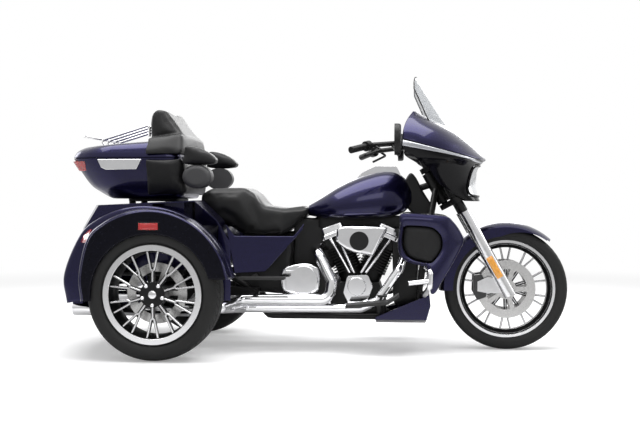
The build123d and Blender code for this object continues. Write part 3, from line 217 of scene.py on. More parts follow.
def finish(name, dark, light, scale, rough, relief=0.0, cells=False, **values):
    """A material: colour from dark to light and roughness between two values follow the same pattern of
    scale cells a metre, and relief is the pattern's height in metres. values go to the shader's sockets."""
    made = bpy.data.materials.new(name)
    made.use_nodes = True
    tree = made.node_tree
    shader = tree.nodes["Principled BSDF"]
    place = wired(tree, "ShaderNodeTexCoord").outputs["Object"]
    kind = "ShaderNodeTexVoronoi" if cells else "ShaderNodeTexNoise"
    pattern = wired(tree, kind, [("Vector", place), ("Scale", scale)])
    level = pattern.outputs["Distance" if cells else "Fac"]
    tone = wired(tree, "ShaderNodeMix", [(0, level), (6, (*dark, 1.0)), (7, (*light, 1.0))],
                 data_type="RGBA")
    polish = wired(tree, "ShaderNodeMapRange", [(0, level), (3, rough[0]), (4, rough[1])])
    tree.links.new(tone.outputs[2], shader.inputs["Base Color"])
    tree.links.new(polish.outputs[0], shader.inputs["Roughness"])
    if relief:
        bump = wired(tree, "ShaderNodeBump", [("Height", level), ("Distance", relief), ("Strength", 0.6)])
        tree.links.new(bump.outputs[0], shader.inputs["Normal"])
    for socket, value in values.items():
        shader.inputs[socket.replace("_", " ")].default_value = value
    FINISHES[name] = made
    return made


finish("midnight_paint", (0.0040, 0.0034, 0.021), (0.0150, 0.0125, 0.066), 900.0, (0.22, 0.32), cells=True,
       Metallic=0.85, Coat_Weight=0.45, Coat_Roughness=0.04)
# The fender's upright side panel has the hood's blue paint; this near-black finish on it is painted shade.
finish("arch_painted_shade", (0.0015, 0.0015, 0.0040), (0.0040, 0.0040, 0.0090), 60.0, (0.22, 0.30),
       Specular_IOR_Level=0.12)
finish("gloss_black", (0.002, 0.002, 0.003), (0.005, 0.005, 0.006), 500.0, (0.10, 0.16),
       Specular_IOR_Level=0.16)
finish("chrome", (0.80, 0.80, 0.82), (0.90, 0.90, 0.91), 25.0, (0.05, 0.10), Metallic=1.0)
finish("satin_chrome", (0.72, 0.72, 0.73), (0.82, 0.82, 0.83), 60.0, (0.14, 0.22), Metallic=1.0)
finish("bare_steel", (0.50, 0.50, 0.50), (0.64, 0.63, 0.62), 320.0, (0.22, 0.36), 0.00006, Metallic=1.0)
finish("satin_black", (0.005, 0.005, 0.005), (0.012, 0.012, 0.012), 260.0, (0.32, 0.46), 0.00008,
       Specular_IOR_Level=0.25)
finish("crackle_black", (0.004, 0.004, 0.004), (0.012, 0.012, 0.012), 420.0, (0.42, 0.60), 0.00025,
       cells=True, Specular_IOR_Level=0.30)
finish("moulded_black", (0.006, 0.006, 0.0065), (0.014, 0.014, 0.0145), 700.0, (0.45, 0.58), 0.00012,
       Specular_IOR_Level=0.25)
finish("pod_grey", (0.030, 0.030, 0.032), (0.055, 0.055, 0.058), 620.0, (0.48, 0.60), 0.00012)
finish("leather", (0.0045, 0.0045, 0.005), (0.0120, 0.0120, 0.0125), 330.0, (0.34, 0.50), 0.00030, cells=True,
       Specular_IOR_Level=0.30)
finish("tyre_rubber", (0.011, 0.011, 0.011), (0.020, 0.020, 0.020), 240.0, (0.52, 0.68), 0.00012,
       Specular_IOR_Level=0.25)
finish("pad_rubber", (0.012, 0.012, 0.012), (0.026, 0.026, 0.026), 200.0, (0.55, 0.70), 0.00015)
finish("red_lens", (0.50, 0.010, 0.012), (0.75, 0.030, 0.030), 160.0, (0.06, 0.12), 0.0004, cells=True,
       Coat_Weight=1.0, Coat_Roughness=0.02, Transmission_Weight=0.25)
finish("amber_lens", (0.80, 0.30, 0.02), (0.95, 0.45, 0.06), 220.0, (0.08, 0.16), 0.0003, cells=True,
       Coat_Weight=1.0, Coat_Roughness=0.02)
finish("lamp_lens", (0.75, 0.77, 0.80), (0.90, 0.91, 0.92), 120.0, (0.03, 0.08), 0.0002, cells=True,
       Coat_Weight=1.0, Metallic=0.55)
finish("clear_screen", (0.36, 0.38, 0.40), (0.44, 0.46, 0.48), 6.0, (0.02, 0.05), Alpha=0.40)
finish("machined_face", (0.66, 0.66, 0.67), (0.80, 0.80, 0.81), 500.0, (0.16, 0.26), 0.00004, Metallic=1.0)
finish("cast_black", (0.003, 0.003, 0.003), (0.008, 0.008, 0.009), 380.0, (0.26, 0.38), 0.00006,
       Specular_IOR_Level=0.25)
finish("caliper_grey", (0.020, 0.020, 0.021), (0.045, 0.045, 0.046), 420.0, (0.30, 0.42), 0.00010)
# A painted highlight: a bright silver finish for the band under the fairing's colour line, where its recess
# reflects light.
finish("painted_highlight_strip", (0.42, 0.43, 0.46), (0.56, 0.57, 0.60), 40.0, (0.20, 0.30), Metallic=0.85)
print("finishes", sorted(FINISHES))

# %% [markdown]
# Nearly every panel below is a grid: rows one way, columns the other, and each point worked out by a formula
# for the whole grid at once. A smooth curve through a few measured points gives the rows in between, and
# one function turns such sheets into a piece, welds its seams and poles and lets it ride on its body.

# %% Curves and grids
def smooth_line(points, count):
    """A curve through rows of points: between two of them it is the cubic whose slope at each end is half
    the step between that end's two neighbours. The rows may be points or whole sections."""
    rows = np.asarray(points, dtype=float)
    padded = np.concatenate([2 * rows[:1] - rows[1:2], rows, 2 * rows[-1:] - rows[-2:-1]])
    place = np.linspace(0.0, len(rows) - 1.0, count)
    start = np.minimum(place.astype(int), len(rows) - 2)
    t = (place - start).reshape((-1,) + (1,) * (rows.ndim - 1))
    a, b, c, d = (padded[start + k] for k in range(4))
    return 0.5 * (2 * b + (c - a) * t + (2 * a - 5 * b + 4 * c - d) * t ** 2
                  + (3 * b - a - 3 * c + d) * t ** 3)


def grid_faces(rows, columns, around, first):
    """Quads between neighbouring rows and columns; around joins the last column to the first one."""
    index = first + np.arange(rows * columns).reshape(rows, columns)
    if around:
        index = np.concatenate([index, index[:, :1]], axis=1)
    return np.stack([index[:-1, :-1], index[:-1, 1:], index[1:, 1:], index[1:, :-1]], axis=-1).reshape(-1, 4)


def mirrored(grid):
    """The same grid on the other side of the machine, with its columns turned round to keep it outwards."""
    return (grid * np.array([1.0, -1.0, 1.0]))[:, ::-1]


def settle(mesh, sharp, outwards):
    """Welds points that lie together, turns closed forms outwards and keeps only steep edges sharp."""
    work = bmesh.new()
    work.from_mesh(mesh)
    bmesh.ops.remove_doubles(work, verts=work.verts, dist=0.00002)
    if outwards:
        bmesh.ops.recalc_face_normals(work, faces=work.faces)
    work.to_mesh(mesh)
    work.free()
    mesh.shade_smooth()
    mesh.set_sharp_from_angle(angle=math.radians(sharp))


def surface(name, sheets, finishes, body, wall=0.0, sharp=38.0, outwards=True, replaces=()):
    """One piece from sheets, each a grid, whether it closes round, and the number of its finish. A wall
    gives an open sheet its thickness on the inner side."""
    spots, faces, kinds, first = [], [], [], 0
    for grid, around, kind in sheets:
        made = grid_faces(*grid.shape[:2], around, first)
        spots.append(grid.reshape(-1, 3))
        faces.append(made)
        kinds.append(np.full(len(made), kind, dtype=np.int32))
        first += grid.shape[0] * grid.shape[1]
    mesh = bpy.data.meshes.new(name)
    mesh.from_pydata(np.concatenate(spots).tolist(), [], np.concatenate(faces).tolist())
    for finish_name in finishes:
        mesh.materials.append(FINISHES[finish_name])
    mesh.polygons.foreach_set("material_index", np.concatenate(kinds))
    settle(mesh, sharp, outwards)
    piece = bpy.data.objects.new(name, mesh)
    bpy.context.scene.collection.objects.link(piece)
    if wall:
        solid = piece.modifiers.new("wall", "SOLIDIFY")
        solid.thickness, solid.offset = wall, -1.0
    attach(piece, body)
    if replaces:
        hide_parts(*replaces)
    print(name, len(mesh.polygons), "faces")
    return piece


# %% [markdown]
# A cast, pressed or moulded part never has a knife edge. Light catches the small round along each corner, and
# that line is most of what makes a shape read as real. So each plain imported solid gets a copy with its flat
# faces joined and a small bevel along its steep edges, and the bevel may have a finish of its own, as the
# machined edge of a painted wheel has.

# %% Soft edges
def softened(node, width, finish_name, edge_finish=None, segments=2, steep=32.0):
    """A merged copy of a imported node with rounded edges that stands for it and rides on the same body."""
    mesh = NODES[node].data.copy()
    mesh.name = f"{node}_form"
    mesh.materials.clear()
    work = bmesh.new()
    work.from_mesh(mesh)
    bmesh.ops.remove_doubles(work, verts=work.verts, dist=0.00001)
    bmesh.ops.dissolve_limit(work, angle_limit=math.radians(0.6), verts=work.verts, edges=work.edges)
    work.to_mesh(mesh)
    work.free()
    if "custom_normal" in mesh.attributes:
        mesh.attributes.remove(mesh.attributes["custom_normal"])
    mesh.materials.append(FINISHES[finish_name])
    mesh.materials.append(FINISHES[edge_finish or finish_name])
    mesh.polygons.foreach_set("material_index", np.zeros(len(mesh.polygons), dtype=np.int32))
    mesh.shade_smooth()
    mesh.set_sharp_from_angle(angle=math.radians(steep))
    piece = bpy.data.objects.new(f"{node}_form", mesh)
    bpy.context.scene.collection.objects.link(piece)
    bevel = piece.modifiers.new("soft edge", "BEVEL")
    bevel.width, bevel.segments, bevel.limit_method = width, segments, "ANGLE"
    bevel.angle_limit = math.radians(steep)
    bevel.harden_normals = True
    bevel.material = 1 if edge_finish else -1
    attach(piece, BODY_OF[node])
    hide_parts(node)
    return piece


# %% [markdown]
# The castings, covers and plain panels need no more than that: one row each with the width of its soft edge.
# Painted wheels get a machined edge, which is the thin bright line that runs along every spoke.

# %% Castings, covers and plain panels
BODY_OF = {node: body for body, members in frame["record"]["behaviour"]["bodies"].items() for node in members}
# Columns: node, edge width in metres, finish, finish of the edge
SOFT_NODES = (
    ("rear_body", 0.006, "midnight_paint", None),
    ("trunk_door", 0.003, "midnight_paint", None),
    ("side_covers", 0.006, "midnight_paint", None),
    ("chin_spoiler", 0.004, "midnight_paint", None),
    ("front_rim", 0.0016, "cast_black", "machined_face"),
    ("rear_rim_right", 0.0016, "cast_black", "machined_face"),
    ("rear_rim_left", 0.0016, "cast_black", "machined_face"),
    ("front_discs", 0.0006, "bare_steel", None),
    ("rear_disc_right", 0.0006, "bare_steel", None),
    ("rear_disc_left", 0.0006, "bare_steel", None),
    ("front_calipers", 0.005, "caliper_grey", None),
    ("engine_case", 0.006, "crackle_black", None),
    ("gearbox", 0.008, "crackle_black", None),
    ("primary_cover", 0.003, "chrome", None),
    ("engine_covers", 0.005, "chrome", None),
    ("rocker_covers", 0.005, "chrome", None),
    ("air_filter_disc", 0.003, "moulded_black", None),
    ("tank_console", 0.006, "chrome", None),
    ("case_latch", 0.003, "chrome", None),
    ("footboards", 0.002, "pad_rubber", None),
    ("passenger_boards", 0.003, "pad_rubber", None),
    ("fork_clamps", 0.004, "satin_black", None),
    ("fairing_inner", 0.004, "moulded_black", None),
    ("rear_lamps", 0.003, "red_lens", None),
)
for row in SOFT_NODES:
    softened(*row)
print("softened", len(SOFT_NODES))

# %% [markdown]
# The tank is a pressed teardrop: its section is an arch that is wide below the middle, and it swells and
# narrows along its length. Eight measured sections carry a smooth skin, and each one is drawn by the same
# rule: the half width follows a blunt sine down the side, and the top a flat cosine.

# %% Tank
# Columns: x, underside, top, half width
TANK_STATIONS = np.array((
    (-0.042, 0.700, 0.760, 0.052), (0.020, 0.690, 0.799, 0.102), (0.110, 0.686, 0.856, 0.152),
    (0.220, 0.686, 0.905, 0.173), (0.330, 0.690, 0.934, 0.169), (0.410, 0.700, 0.932, 0.143),
    (0.462, 0.722, 0.900, 0.105), (0.492, 0.760, 0.858, 0.062)))


def tank_skin(rows=72, columns=96):
    """Arch sections along x: at angle a the side stands at half * cos(a)^0.75 and the height rises from the
    belly line by sin(a)^1.15 to the top; below the belly line the skin runs in to the flat underside."""
    station = smooth_line(TANK_STATIONS, rows)[:, None, :]
    turn = np.linspace(-0.5 * np.pi, 1.5 * np.pi, columns, endpoint=False)[None, :]
    across, up = np.cos(turn), np.sin(turn)
    x, low, top, half = (np.broadcast_to(station[..., k], (rows, columns)) for k in range(4))
    belly = low + (top - low) * 0.36
    over = belly + (top - belly) * np.abs(up) ** 1.15
    under = belly - (belly - low) * np.abs(up) ** 0.60
    y = half * np.sign(across) * np.abs(across) ** np.where(up > 0, 0.75, 0.42)
    z = np.where(up > 0, over, under)
    return np.stack([x, -y, z], axis=-1)


def closed_ends(grid, depth, steps=6):
    """Rounds both ends of a form of rings: ring k of steps is the end ring drawn in towards its middle to
    cos(a) of its size and pushed out by depth * sin(a)."""
    a = np.linspace(0.0, 0.5 * np.pi, steps + 1)[1:, None, None]
    ends = []
    for ring, inner in ((grid[0], grid[1]), (grid[-1], grid[-2])):
        middle = ring.mean(axis=0)
        out = middle - inner.mean(axis=0)
        out = out / np.linalg.norm(out)
        ends.append(middle + (ring - middle) * np.cos(a) + out * depth * np.sin(a))
    return np.concatenate([ends[0][::-1], grid, ends[1]])


surface("tank_skin", [(closed_ends(tank_skin(), 0.012), True, 0)], ["midnight_paint"], "chassis",
        sharp=60.0, replaces=("tank",))

# %% [markdown]
# A rear fender on a trike is a wide hood. Seen from the side it is an arch; across its width it starts level
# with the body, falls a little towards a crease that carries the light, and turns down there into an upright
# side panel with a round mouth for the wheel. That panel has the hood's own paint, but here it gets a
# near-black finish as painted shade, for how dark its upright face stays under the lamp overhead. Its
# sections at three depths share one rule, an arc over the wheel and a soft corner behind it, and the sheet
# between them is carried on down to the mouth.

# %% Rear fenders
# Columns: depth, front foot, crown, rear shoulder, rear middle, rear foot
FENDER_SECTIONS = (
    (0.556, (-0.352, 0.405), (-0.735, 0.752), (-1.125, 0.616), (-1.203, 0.420), (-1.190, 0.276)),
    (0.655, (-0.361, 0.405), (-0.737, 0.746), (-1.075, 0.606), (-1.128, 0.420), (-1.116, 0.286)),
    (0.684, (-0.369, 0.405), (-0.737, 0.731), (-1.049, 0.594), (-1.086, 0.420), (-1.076, 0.296)),
)
# Columns: share of the way from the body to the valley, how far out of the body it stands
CHEEK = ((0.0, 0.0), (0.03, 0.028), (0.12, 0.044), (0.35, 0.052), (0.70, 0.056), (1.0, 0.058))
AXLE_X, AXLE_Z, MOUTH_R = -0.7433, 0.3254, 0.300
PANEL_Y = 0.690


def arc_through(start, middle, end, count):
    """Points on the circle through three points: its centre is equally far from all of them, which gives
    two straight equations, and the points then lie at even angles round it."""
    a, b, c = (np.asarray(p, dtype=float) for p in (start, middle, end))
    centre = np.linalg.solve(2 * np.array([b - a, c - a]), [b @ b - a @ a, c @ c - a @ a])
    angles = np.unwrap([math.atan2(*(p - centre)[::-1]) for p in (a, b, c)])
    turn = np.linspace(angles[0], angles[2], count)[:, None]
    return centre + np.linalg.norm(a - centre) * np.hstack([np.cos(turn), np.sin(turn)])


def fender_curve(section, count=120):
    """The arch at one depth, from its front foot over the wheel to its rear foot."""
    depth, foot, crown, shoulder, middle, heel = section
    arch = arc_through(foot, crown, shoulder, 9)
    curve = smooth_line(np.vstack([arch[:-1], [arch[-1] + (0.004, -0.004)], [middle], [heel]]), count)
    return np.insert(curve, 1, -depth, axis=1)


def fender_sheet(count=120):
    """A cheek beside the body, an upright valley, and then a flare: a quarter of an ellipse that starts
    outwards from the valley and ends downwards at the crease. A small radius leads on to the side panel."""
    body, crease = fender_curve(FENDER_SECTIONS[0], count), fender_curve(FENDER_SECTIONS[-1], count)
    gap = (body - crease) * (1, 0, 1)
    length = np.linalg.norm(gap, axis=1, keepdims=True)
    valley = crease + gap / length * np.minimum(0.024, 0.62 * length)
    step = valley - body
    cheek = [body + step * share * (1, 0, 1) + np.array([0.0, -drop, 0.0]) for share, drop in CHEEK]
    cheek = smooth_line(cheek, 16)
    a = np.linspace(0.0, 0.5 * np.pi, 10)[1:, None, None]
    start = cheek[-1]
    across = crease - start
    flare = start + across * (1, 0, 1) * (1 - np.cos(a)) + across * (0, 1, 0) * np.sin(a)
    curves = np.concatenate([cheek, flare])
    inner = np.array([AXLE_X, -PANEL_Y, AXLE_Z])
    inward = crease - inner
    inward = inward * (1, 0, 1) / np.linalg.norm(inward * (1, 0, 1), axis=1)[:, None]
    a = np.linspace(0.2, 0.5 * np.pi, 5)[:, None, None]
    turned = crease + np.array([0.0, -0.006, 0.0]) * np.sin(a) - inward * 0.006 * (1 - np.cos(a))
    return np.concatenate([curves, turned])


def mouth_curve(count=120):
    """The wheel's mouth: round above the axle, then straight down to the rear foot."""
    split = int(count * 0.84)
    turn = np.linspace(math.radians(15.4), np.pi, split)
    arch = np.stack([AXLE_X + MOUTH_R * np.cos(turn), AXLE_Z + MOUTH_R * np.sin(turn)], axis=1)
    drop = np.linspace(AXLE_Z, 0.297, count - split + 1)[1:]
    straight = np.stack([np.full_like(drop, AXLE_X - MOUTH_R), drop], axis=1)
    flat = np.vstack([arch, straight])
    return np.insert(flat, 1, -PANEL_Y, axis=1)


hood = fender_sheet()
mouth = mouth_curve()
share = np.linspace(0.0, 1.0, 14)[:, None, None]
panel = hood[-1] * (1 - share) + mouth * share
roll = np.linspace(0.0, 0.5 * np.pi, 6)[:, None, None]
to_axle = (np.array([AXLE_X, 0.0, AXLE_Z]) - mouth) * (1, 0, 1)
to_axle = to_axle / np.linalg.norm(to_axle, axis=1)[:, None]
lip = mouth + to_axle * 0.007 * np.sin(roll) + np.array([0.0, 1.0, 0.0]) * 0.012 * (1 - np.cos(roll))
fender_sheets = [(hood, False, 0), (np.concatenate([panel, lip[1:]]), False, 1)]
fender_sheets += [(mirrored(grid), around, kind) for grid, around, kind in fender_sheets]
# Sheets of kind 1, the side panel and its lip, take the near-black painted-shade finish.
surface("rear_fender_hoods", fender_sheets, ["midnight_paint", "arch_painted_shade"], "chassis", wall=0.004,
        sharp=50.0, outwards=False, replaces=("rear_fenders",))

# %% [markdown]
# The top case is a moulded shell in two halves with rounded corners. Its plan narrows towards the back, and
# each half is a stack of such plans, with a rim where the halves meet. Both walls are drawn, because the lid
# opens and the inside is then seen.

# %% Top case
CASE_FRONT = -0.690
CASE_WALL = 0.006
# Columns: height, rear x, rear half width, shoulder x, half width, inset of the front
BASE_RINGS = np.array((
    (0.7905, -1.075, 0.150, -0.945, 0.225, 0.030), (0.796, -1.102, 0.168, -0.958, 0.246, 0.006),
    (0.826, -1.152, 0.186, -1.010, 0.268, 0.0), (0.862, -1.200, 0.200, -1.060, 0.285, 0.0),
    (0.930, -1.246, 0.219, -1.104, 0.299, 0.0), (0.992, -1.279, 0.234, -1.137, 0.309, 0.0),
    (1.0000, -1.283, 0.235, -1.140, 0.310, 0.0)))
LID_RINGS = np.array((
    (1.0032, -1.283, 0.235, -1.140, 0.310, 0.0), (1.012, -1.282, 0.234, -1.139, 0.3095, 0.0),
    (1.034, -1.270, 0.226, -1.131, 0.303, 0.002), (1.050, -1.252, 0.206, -1.118, 0.288, 0.005),
    (1.060, -1.226, 0.176, -1.100, 0.262, 0.014), (1.064, -1.170, 0.120, -1.060, 0.205, 0.050),
    (1.066, -1.090, 0.050, -1.020, 0.110, 0.120)))


def plan_ring(levels, inset, columns=160):
    """Closed plans, one for each row of levels: six corners joined by straight runs, each corner replaced by
    a curve that leaves and meets its runs at the corner's radius (a quadratic through the corner)."""
    z, rear, rear_half, shoulder, half, front = (levels[:, k, None] for k in range(6))
    rear, shoulder = rear + inset, shoulder + inset * 0.4
    rear_half, half = rear_half - inset * 0.6, half - inset
    nose = np.full_like(z, CASE_FRONT) - front - inset
    x = np.hstack([rear, shoulder, nose, nose, shoulder, rear])
    y = np.hstack([-rear_half, -half, -half, half, half, rear_half])
    corner = np.stack([x, y], axis=-1)
    before, after = np.roll(corner, 1, axis=1), np.roll(corner, -1, axis=1)

    def part_way(to):
        gap = to - corner
        length = np.linalg.norm(gap, axis=-1, keepdims=True)
        return corner + gap / length * np.minimum(0.075, 0.45 * length)

    start, end = part_way(before)[:, :, None], part_way(after)[:, :, None]
    t = np.linspace(0.0, 1.0, columns // 6)[None, None, :, None]
    curve = start * (1 - t) ** 2 + corner[:, :, None] * 2 * t * (1 - t) + end * t ** 2
    curve = curve.reshape(len(levels), -1, 2)
    return np.concatenate([curve, np.broadcast_to(z[:, :, None], curve.shape[:2] + (1,))], axis=-1)


def case_half(rings, slope=0.0, rows=44):
    """Outer wall up, over the rim and down the inner wall, as one sheet closed at its middle. The slope
    lifts the top towards the front."""
    levels = smooth_line(rings, rows)
    outer = plan_ring(levels, 0.0)
    inner = plan_ring(levels, CASE_WALL)
    rise = np.clip((outer[..., 2] - rings[2, 0]) / 0.03, 0.0, 1.0) * slope
    outer[..., 2] += rise * (outer[..., 0] + 1.25)
    inner[..., 2] += rise * (inner[..., 0] + 1.25)
    away = np.linspace(0.0, 1.0, rows)[:, None]
    inner[..., 2] += -CASE_WALL * away if slope else CASE_WALL * (1.0 - away)
    return outer, inner


def shut(ring):
    """Rings that draw a closed ring in to its middle at its own height."""
    a = np.linspace(1.0, 0.0, 7)[1:, None, None]
    return ring.mean(axis=0) + (ring - ring.mean(axis=0)) * a


outer, inner = case_half(BASE_RINGS)
base_sheet = np.concatenate([shut(outer[0])[::-1], outer, inner[::-1], shut(inner[0])])
surface("top_case_tub", [(base_sheet, True, 0)], ["midnight_paint"], "chassis", sharp=50.0,
        replaces=("top_case_base",))
outer, inner = case_half(LID_RINGS, slope=0.073)
lid_sheet = np.concatenate([shut(outer[-1])[::-1], outer[::-1], inner, shut(inner[-1])])
surface("top_case_cover", [(lid_sheet, True, 0)], ["midnight_paint"], "case_lid", sharp=50.0,
        replaces=("top_case_lid",))

# %% [markdown]
# The fairing is a shell shaped like the front half of an egg that is cut off behind. In plan each height is
# half an ellipse, and the ellipses lean and narrow towards the chin. The colours part along a sloping line,
# so the sheet is cut there: for each column the height of the line is found first, and the rows of the upper
# and the lower sheet are spread above and below it. Just under the line runs a narrow band in a bright silver
# finish: a painted highlight for the reflection that the recess under the colour line shows.

# %% Fairing
# Columns: height, rear edge x, nose x, half width
FAIRING_LEVELS = np.array((
    (1.234, 0.508, 0.540, 0.250), (1.190, 0.480, 0.640, 0.320), (1.140, 0.462, 0.728, 0.375),
    (1.085, 0.456, 0.795, 0.400), (1.040, 0.456, 0.843, 0.400), (0.996, 0.520, 0.887, 0.372),
    (0.982, 0.535, 0.874, 0.350), (0.945, 0.585, 0.847, 0.300), (0.855, 0.650, 0.836, 0.225),
    (0.778, 0.782, 0.858, 0.150)))
FAIRING_TABLE = smooth_line(FAIRING_LEVELS, 400)[::-1]
TOP_Z, CHIN_Z = 1.234, 0.778
LAMP_BOX = (0.150, 0.805, 0.960)


def fairing_point(z, a, out=0.0):
    """A point of the shell at height z and angle a: rear + reach * cos(a) forwards and half * sin(a) aside,
    each grown by out."""
    rear, nose, half = (np.interp(z, FAIRING_TABLE[:, 0], FAIRING_TABLE[:, k]) for k in (1, 2, 3))
    return np.stack([rear + (nose - rear + out) * np.cos(a), (half + out) * np.sin(a), z], axis=-1)


def colour_height(a):
    """Where the sloping line z = 1.108 - 0.2517 (x - 0.380) meets the shell at each angle: x and z are
    worked out in turn until they agree."""
    z = np.full_like(a, 1.05)
    for _ in range(30):
        z = 1.108 - 0.2517 * (fairing_point(z, a)[..., 0] - 0.380)
    return z


side_angle = np.linspace(-0.5 * np.pi, 0.5 * np.pi, 161)[None, :]
line_z = colour_height(side_angle)
rise = np.linspace(0.0, 1.0, 40)[:, None]
upper = fairing_point(line_z + (TOP_Z - line_z) * rise, side_angle + 0 * rise)
# A narrow band just under the colour line, in a bright silver finish: a painted highlight for the reflection
# in the recess there.
strip_low = line_z - 0.012 - 0.022 * np.abs(np.sin(side_angle)) ** 3
down = np.linspace(0.0, 1.0, 6)[:, None]
strip = fairing_point(line_z - 0.007 + (strip_low - line_z + 0.007) * down, side_angle + 0 * down, out=0.0012)
fall = np.linspace(0.0, 1.0, 70)[:, None]
lower = fairing_point(line_z + (CHIN_Z - line_z) * fall, side_angle + 0 * fall, out=-0.0008)
surface("fairing_shell", [(upper, False, 0), (strip[::-1], False, 2)],
        ["midnight_paint", "gloss_black", "painted_highlight_strip"], "steering", wall=0.004, outwards=False,
        replaces=("fairing_outer",))
chin = surface("fairing_chin", [(lower[::-1], False, 0)], ["gloss_black"], "steering", wall=0.004,
               outwards=False, replaces=("fairing_lower",))

# %% [markdown]
# The lamp sits in an opening of the chin: the faces whose middles lie inside it are found in one comparison
# of arrays and taken out of the sheet, and a dark bezel is carried round the edge.

# %% Lamp opening and bezel
def carry(path, profile, up=(0.0, 0.0, 1.0), closed=True):
    """A closed profile carried along a path: at each point the profile's first number goes sideways, square
    to the path and to up, and its second goes along the remaining direction."""
    path = np.asarray(path, dtype=float)
    along = (np.roll(path, -1, axis=0) - np.roll(path, 1, axis=0)) if closed else np.gradient(path, axis=0)
    along = along / np.linalg.norm(along, axis=1)[:, None]
    side = np.cross(along, np.asarray(up, dtype=float))
    side = side / np.linalg.norm(side, axis=1)[:, None]
    other = np.cross(side, along)
    profile = np.asarray(profile, dtype=float)
    return path[:, None] + side[:, None] * profile[None, :, :1] + other[:, None] * profile[None, :, 1:]


def round_profile(radius, count=14):
    """A circle as profile points."""
    turn = np.linspace(0.0, 2 * np.pi, count, endpoint=False)
    return radius * np.stack([np.cos(turn), np.sin(turn)], axis=1)


def pipe(name, path, radius, finish_name, body, closed=False, up=(0.0, 0.0, 1.0), count=14):
    """A round bar along a path, with closed ends."""
    grid = carry(path, round_profile(radius, count), up, closed)
    if closed:
        grid = np.concatenate([grid, grid[:1]])
    else:
        grid = np.concatenate([shut(grid[0])[::-1], grid, shut(grid[-1])])
    return surface(name, [(grid, True, 0)], [finish_name], body, sharp=45.0)


middles = np.empty(len(chin.data.polygons) * 3)
chin.data.polygons.foreach_get("center", middles)
middles = middles.reshape(-1, 3)
inside = (np.abs(middles[:, 1]) < LAMP_BOX[0]) & (middles[:, 2] > LAMP_BOX[1]) & (middles[:, 2] < LAMP_BOX[2])
work = bmesh.new()
work.from_mesh(chin.data)
work.faces.ensure_lookup_table()
bmesh.ops.delete(work, geom=[work.faces[k] for k in np.flatnonzero(inside)], context="FACES")
work.to_mesh(chin.data)
work.free()
print("lamp opening", int(inside.sum()), "faces taken out")


def on_shell(y, z, out):
    """The shell's point at a given side and height, found from the half ellipse at that height."""
    half = np.interp(z, FAIRING_TABLE[:, 0], FAIRING_TABLE[:, 3])
    return fairing_point(z, np.arcsin(np.clip(y / half, -1, 1)), out)


turn = np.linspace(0.0, 2 * np.pi, 96, endpoint=False)
square = np.stack([np.sign(np.cos(turn)) * np.abs(np.cos(turn)) ** 0.30,
                   np.sign(np.sin(turn)) * np.abs(np.sin(turn)) ** 0.30], axis=1)
rim_y = square[:, 0] * 0.152
rim_z = 0.8825 + square[:, 1] * 0.080
pipe("lamp_bezel", on_shell(rim_y, rim_z, 0.001), 0.007, "gloss_black", "steering", closed=True, up=(1, 0, 0))
softened("headlamp", 0.002, "lamp_lens")

# %% [markdown]
# The windscreen is one bent sheet of clear plastic. Its bow is a circle across the machine and it leans back;
# its outline narrows towards a round top. A thin rubber edge keeps it from ending in nothing.

# %% Windscreen
SCREEN_BASE, SCREEN_TOP = np.array([0.690, 0.0, 1.168]), np.array([0.523, 0.0, 1.432])
SCREEN_BOW = 0.420
screen_length = np.linalg.norm(SCREEN_TOP - SCREEN_BASE)
screen_up = (SCREEN_TOP - SCREEN_BASE) / screen_length
screen_out = np.array([screen_up[2], 0.0, -screen_up[0]])


def screen_point(h, y):
    """On the leaning cylinder: h up its slope, y across, and sqrt(bow^2 - y^2) - bow along its outside."""
    back = np.sqrt(SCREEN_BOW ** 2 - y ** 2) - SCREEN_BOW
    return (SCREEN_BASE + h[..., None] * screen_up + back[..., None] * screen_out
            + y[..., None] * np.array([0.0, 1.0, 0.0]))


height = np.linspace(0.0, 1.0, 48)[:, None]
side = np.linspace(-1.0, 1.0, 81)[None, :]
reach = np.interp(height, (0.0, 0.4, 1.0), (0.248, 0.238, 0.200))
screen_y = side * reach
top_edge = screen_length - 0.060 * np.abs(side) ** 3.2
screen_h = -0.004 + (top_edge + 0.004) * height
screen = screen_point(screen_h, screen_y)
surface("screen_sheet", [(screen, False, 0)], ["clear_screen"], "steering", wall=0.0045, outwards=False,
        replaces=("windscreen",))
edge = np.concatenate([screen[:, 0], screen[-1, 1:], screen[::-1, -1][1:]])
pipe("screen_edge", edge, 0.0030, "satin_black", "steering", up=(0.3, 0.0, 0.1))

# %% [markdown]
# Tyres are rings: one section goes round the axle. The tread is worked into the same grid, as a depth that is
# taken off wherever a repeating wave of blocks and grooves says so, and two fine ribs run round each side.

# %% Tyres
# Columns: radius as a share from lip to tread, half width as a share of the tyre's
TYRE_HALF = np.array(((0.0, 0.80), (0.08, 0.87), (0.20, 0.935), (0.45, 1.0), (0.66, 0.985), (0.80, 0.93),
                      (0.895, 0.83), (0.955, 0.66), (0.985, 0.42), (1.0, 0.0)))


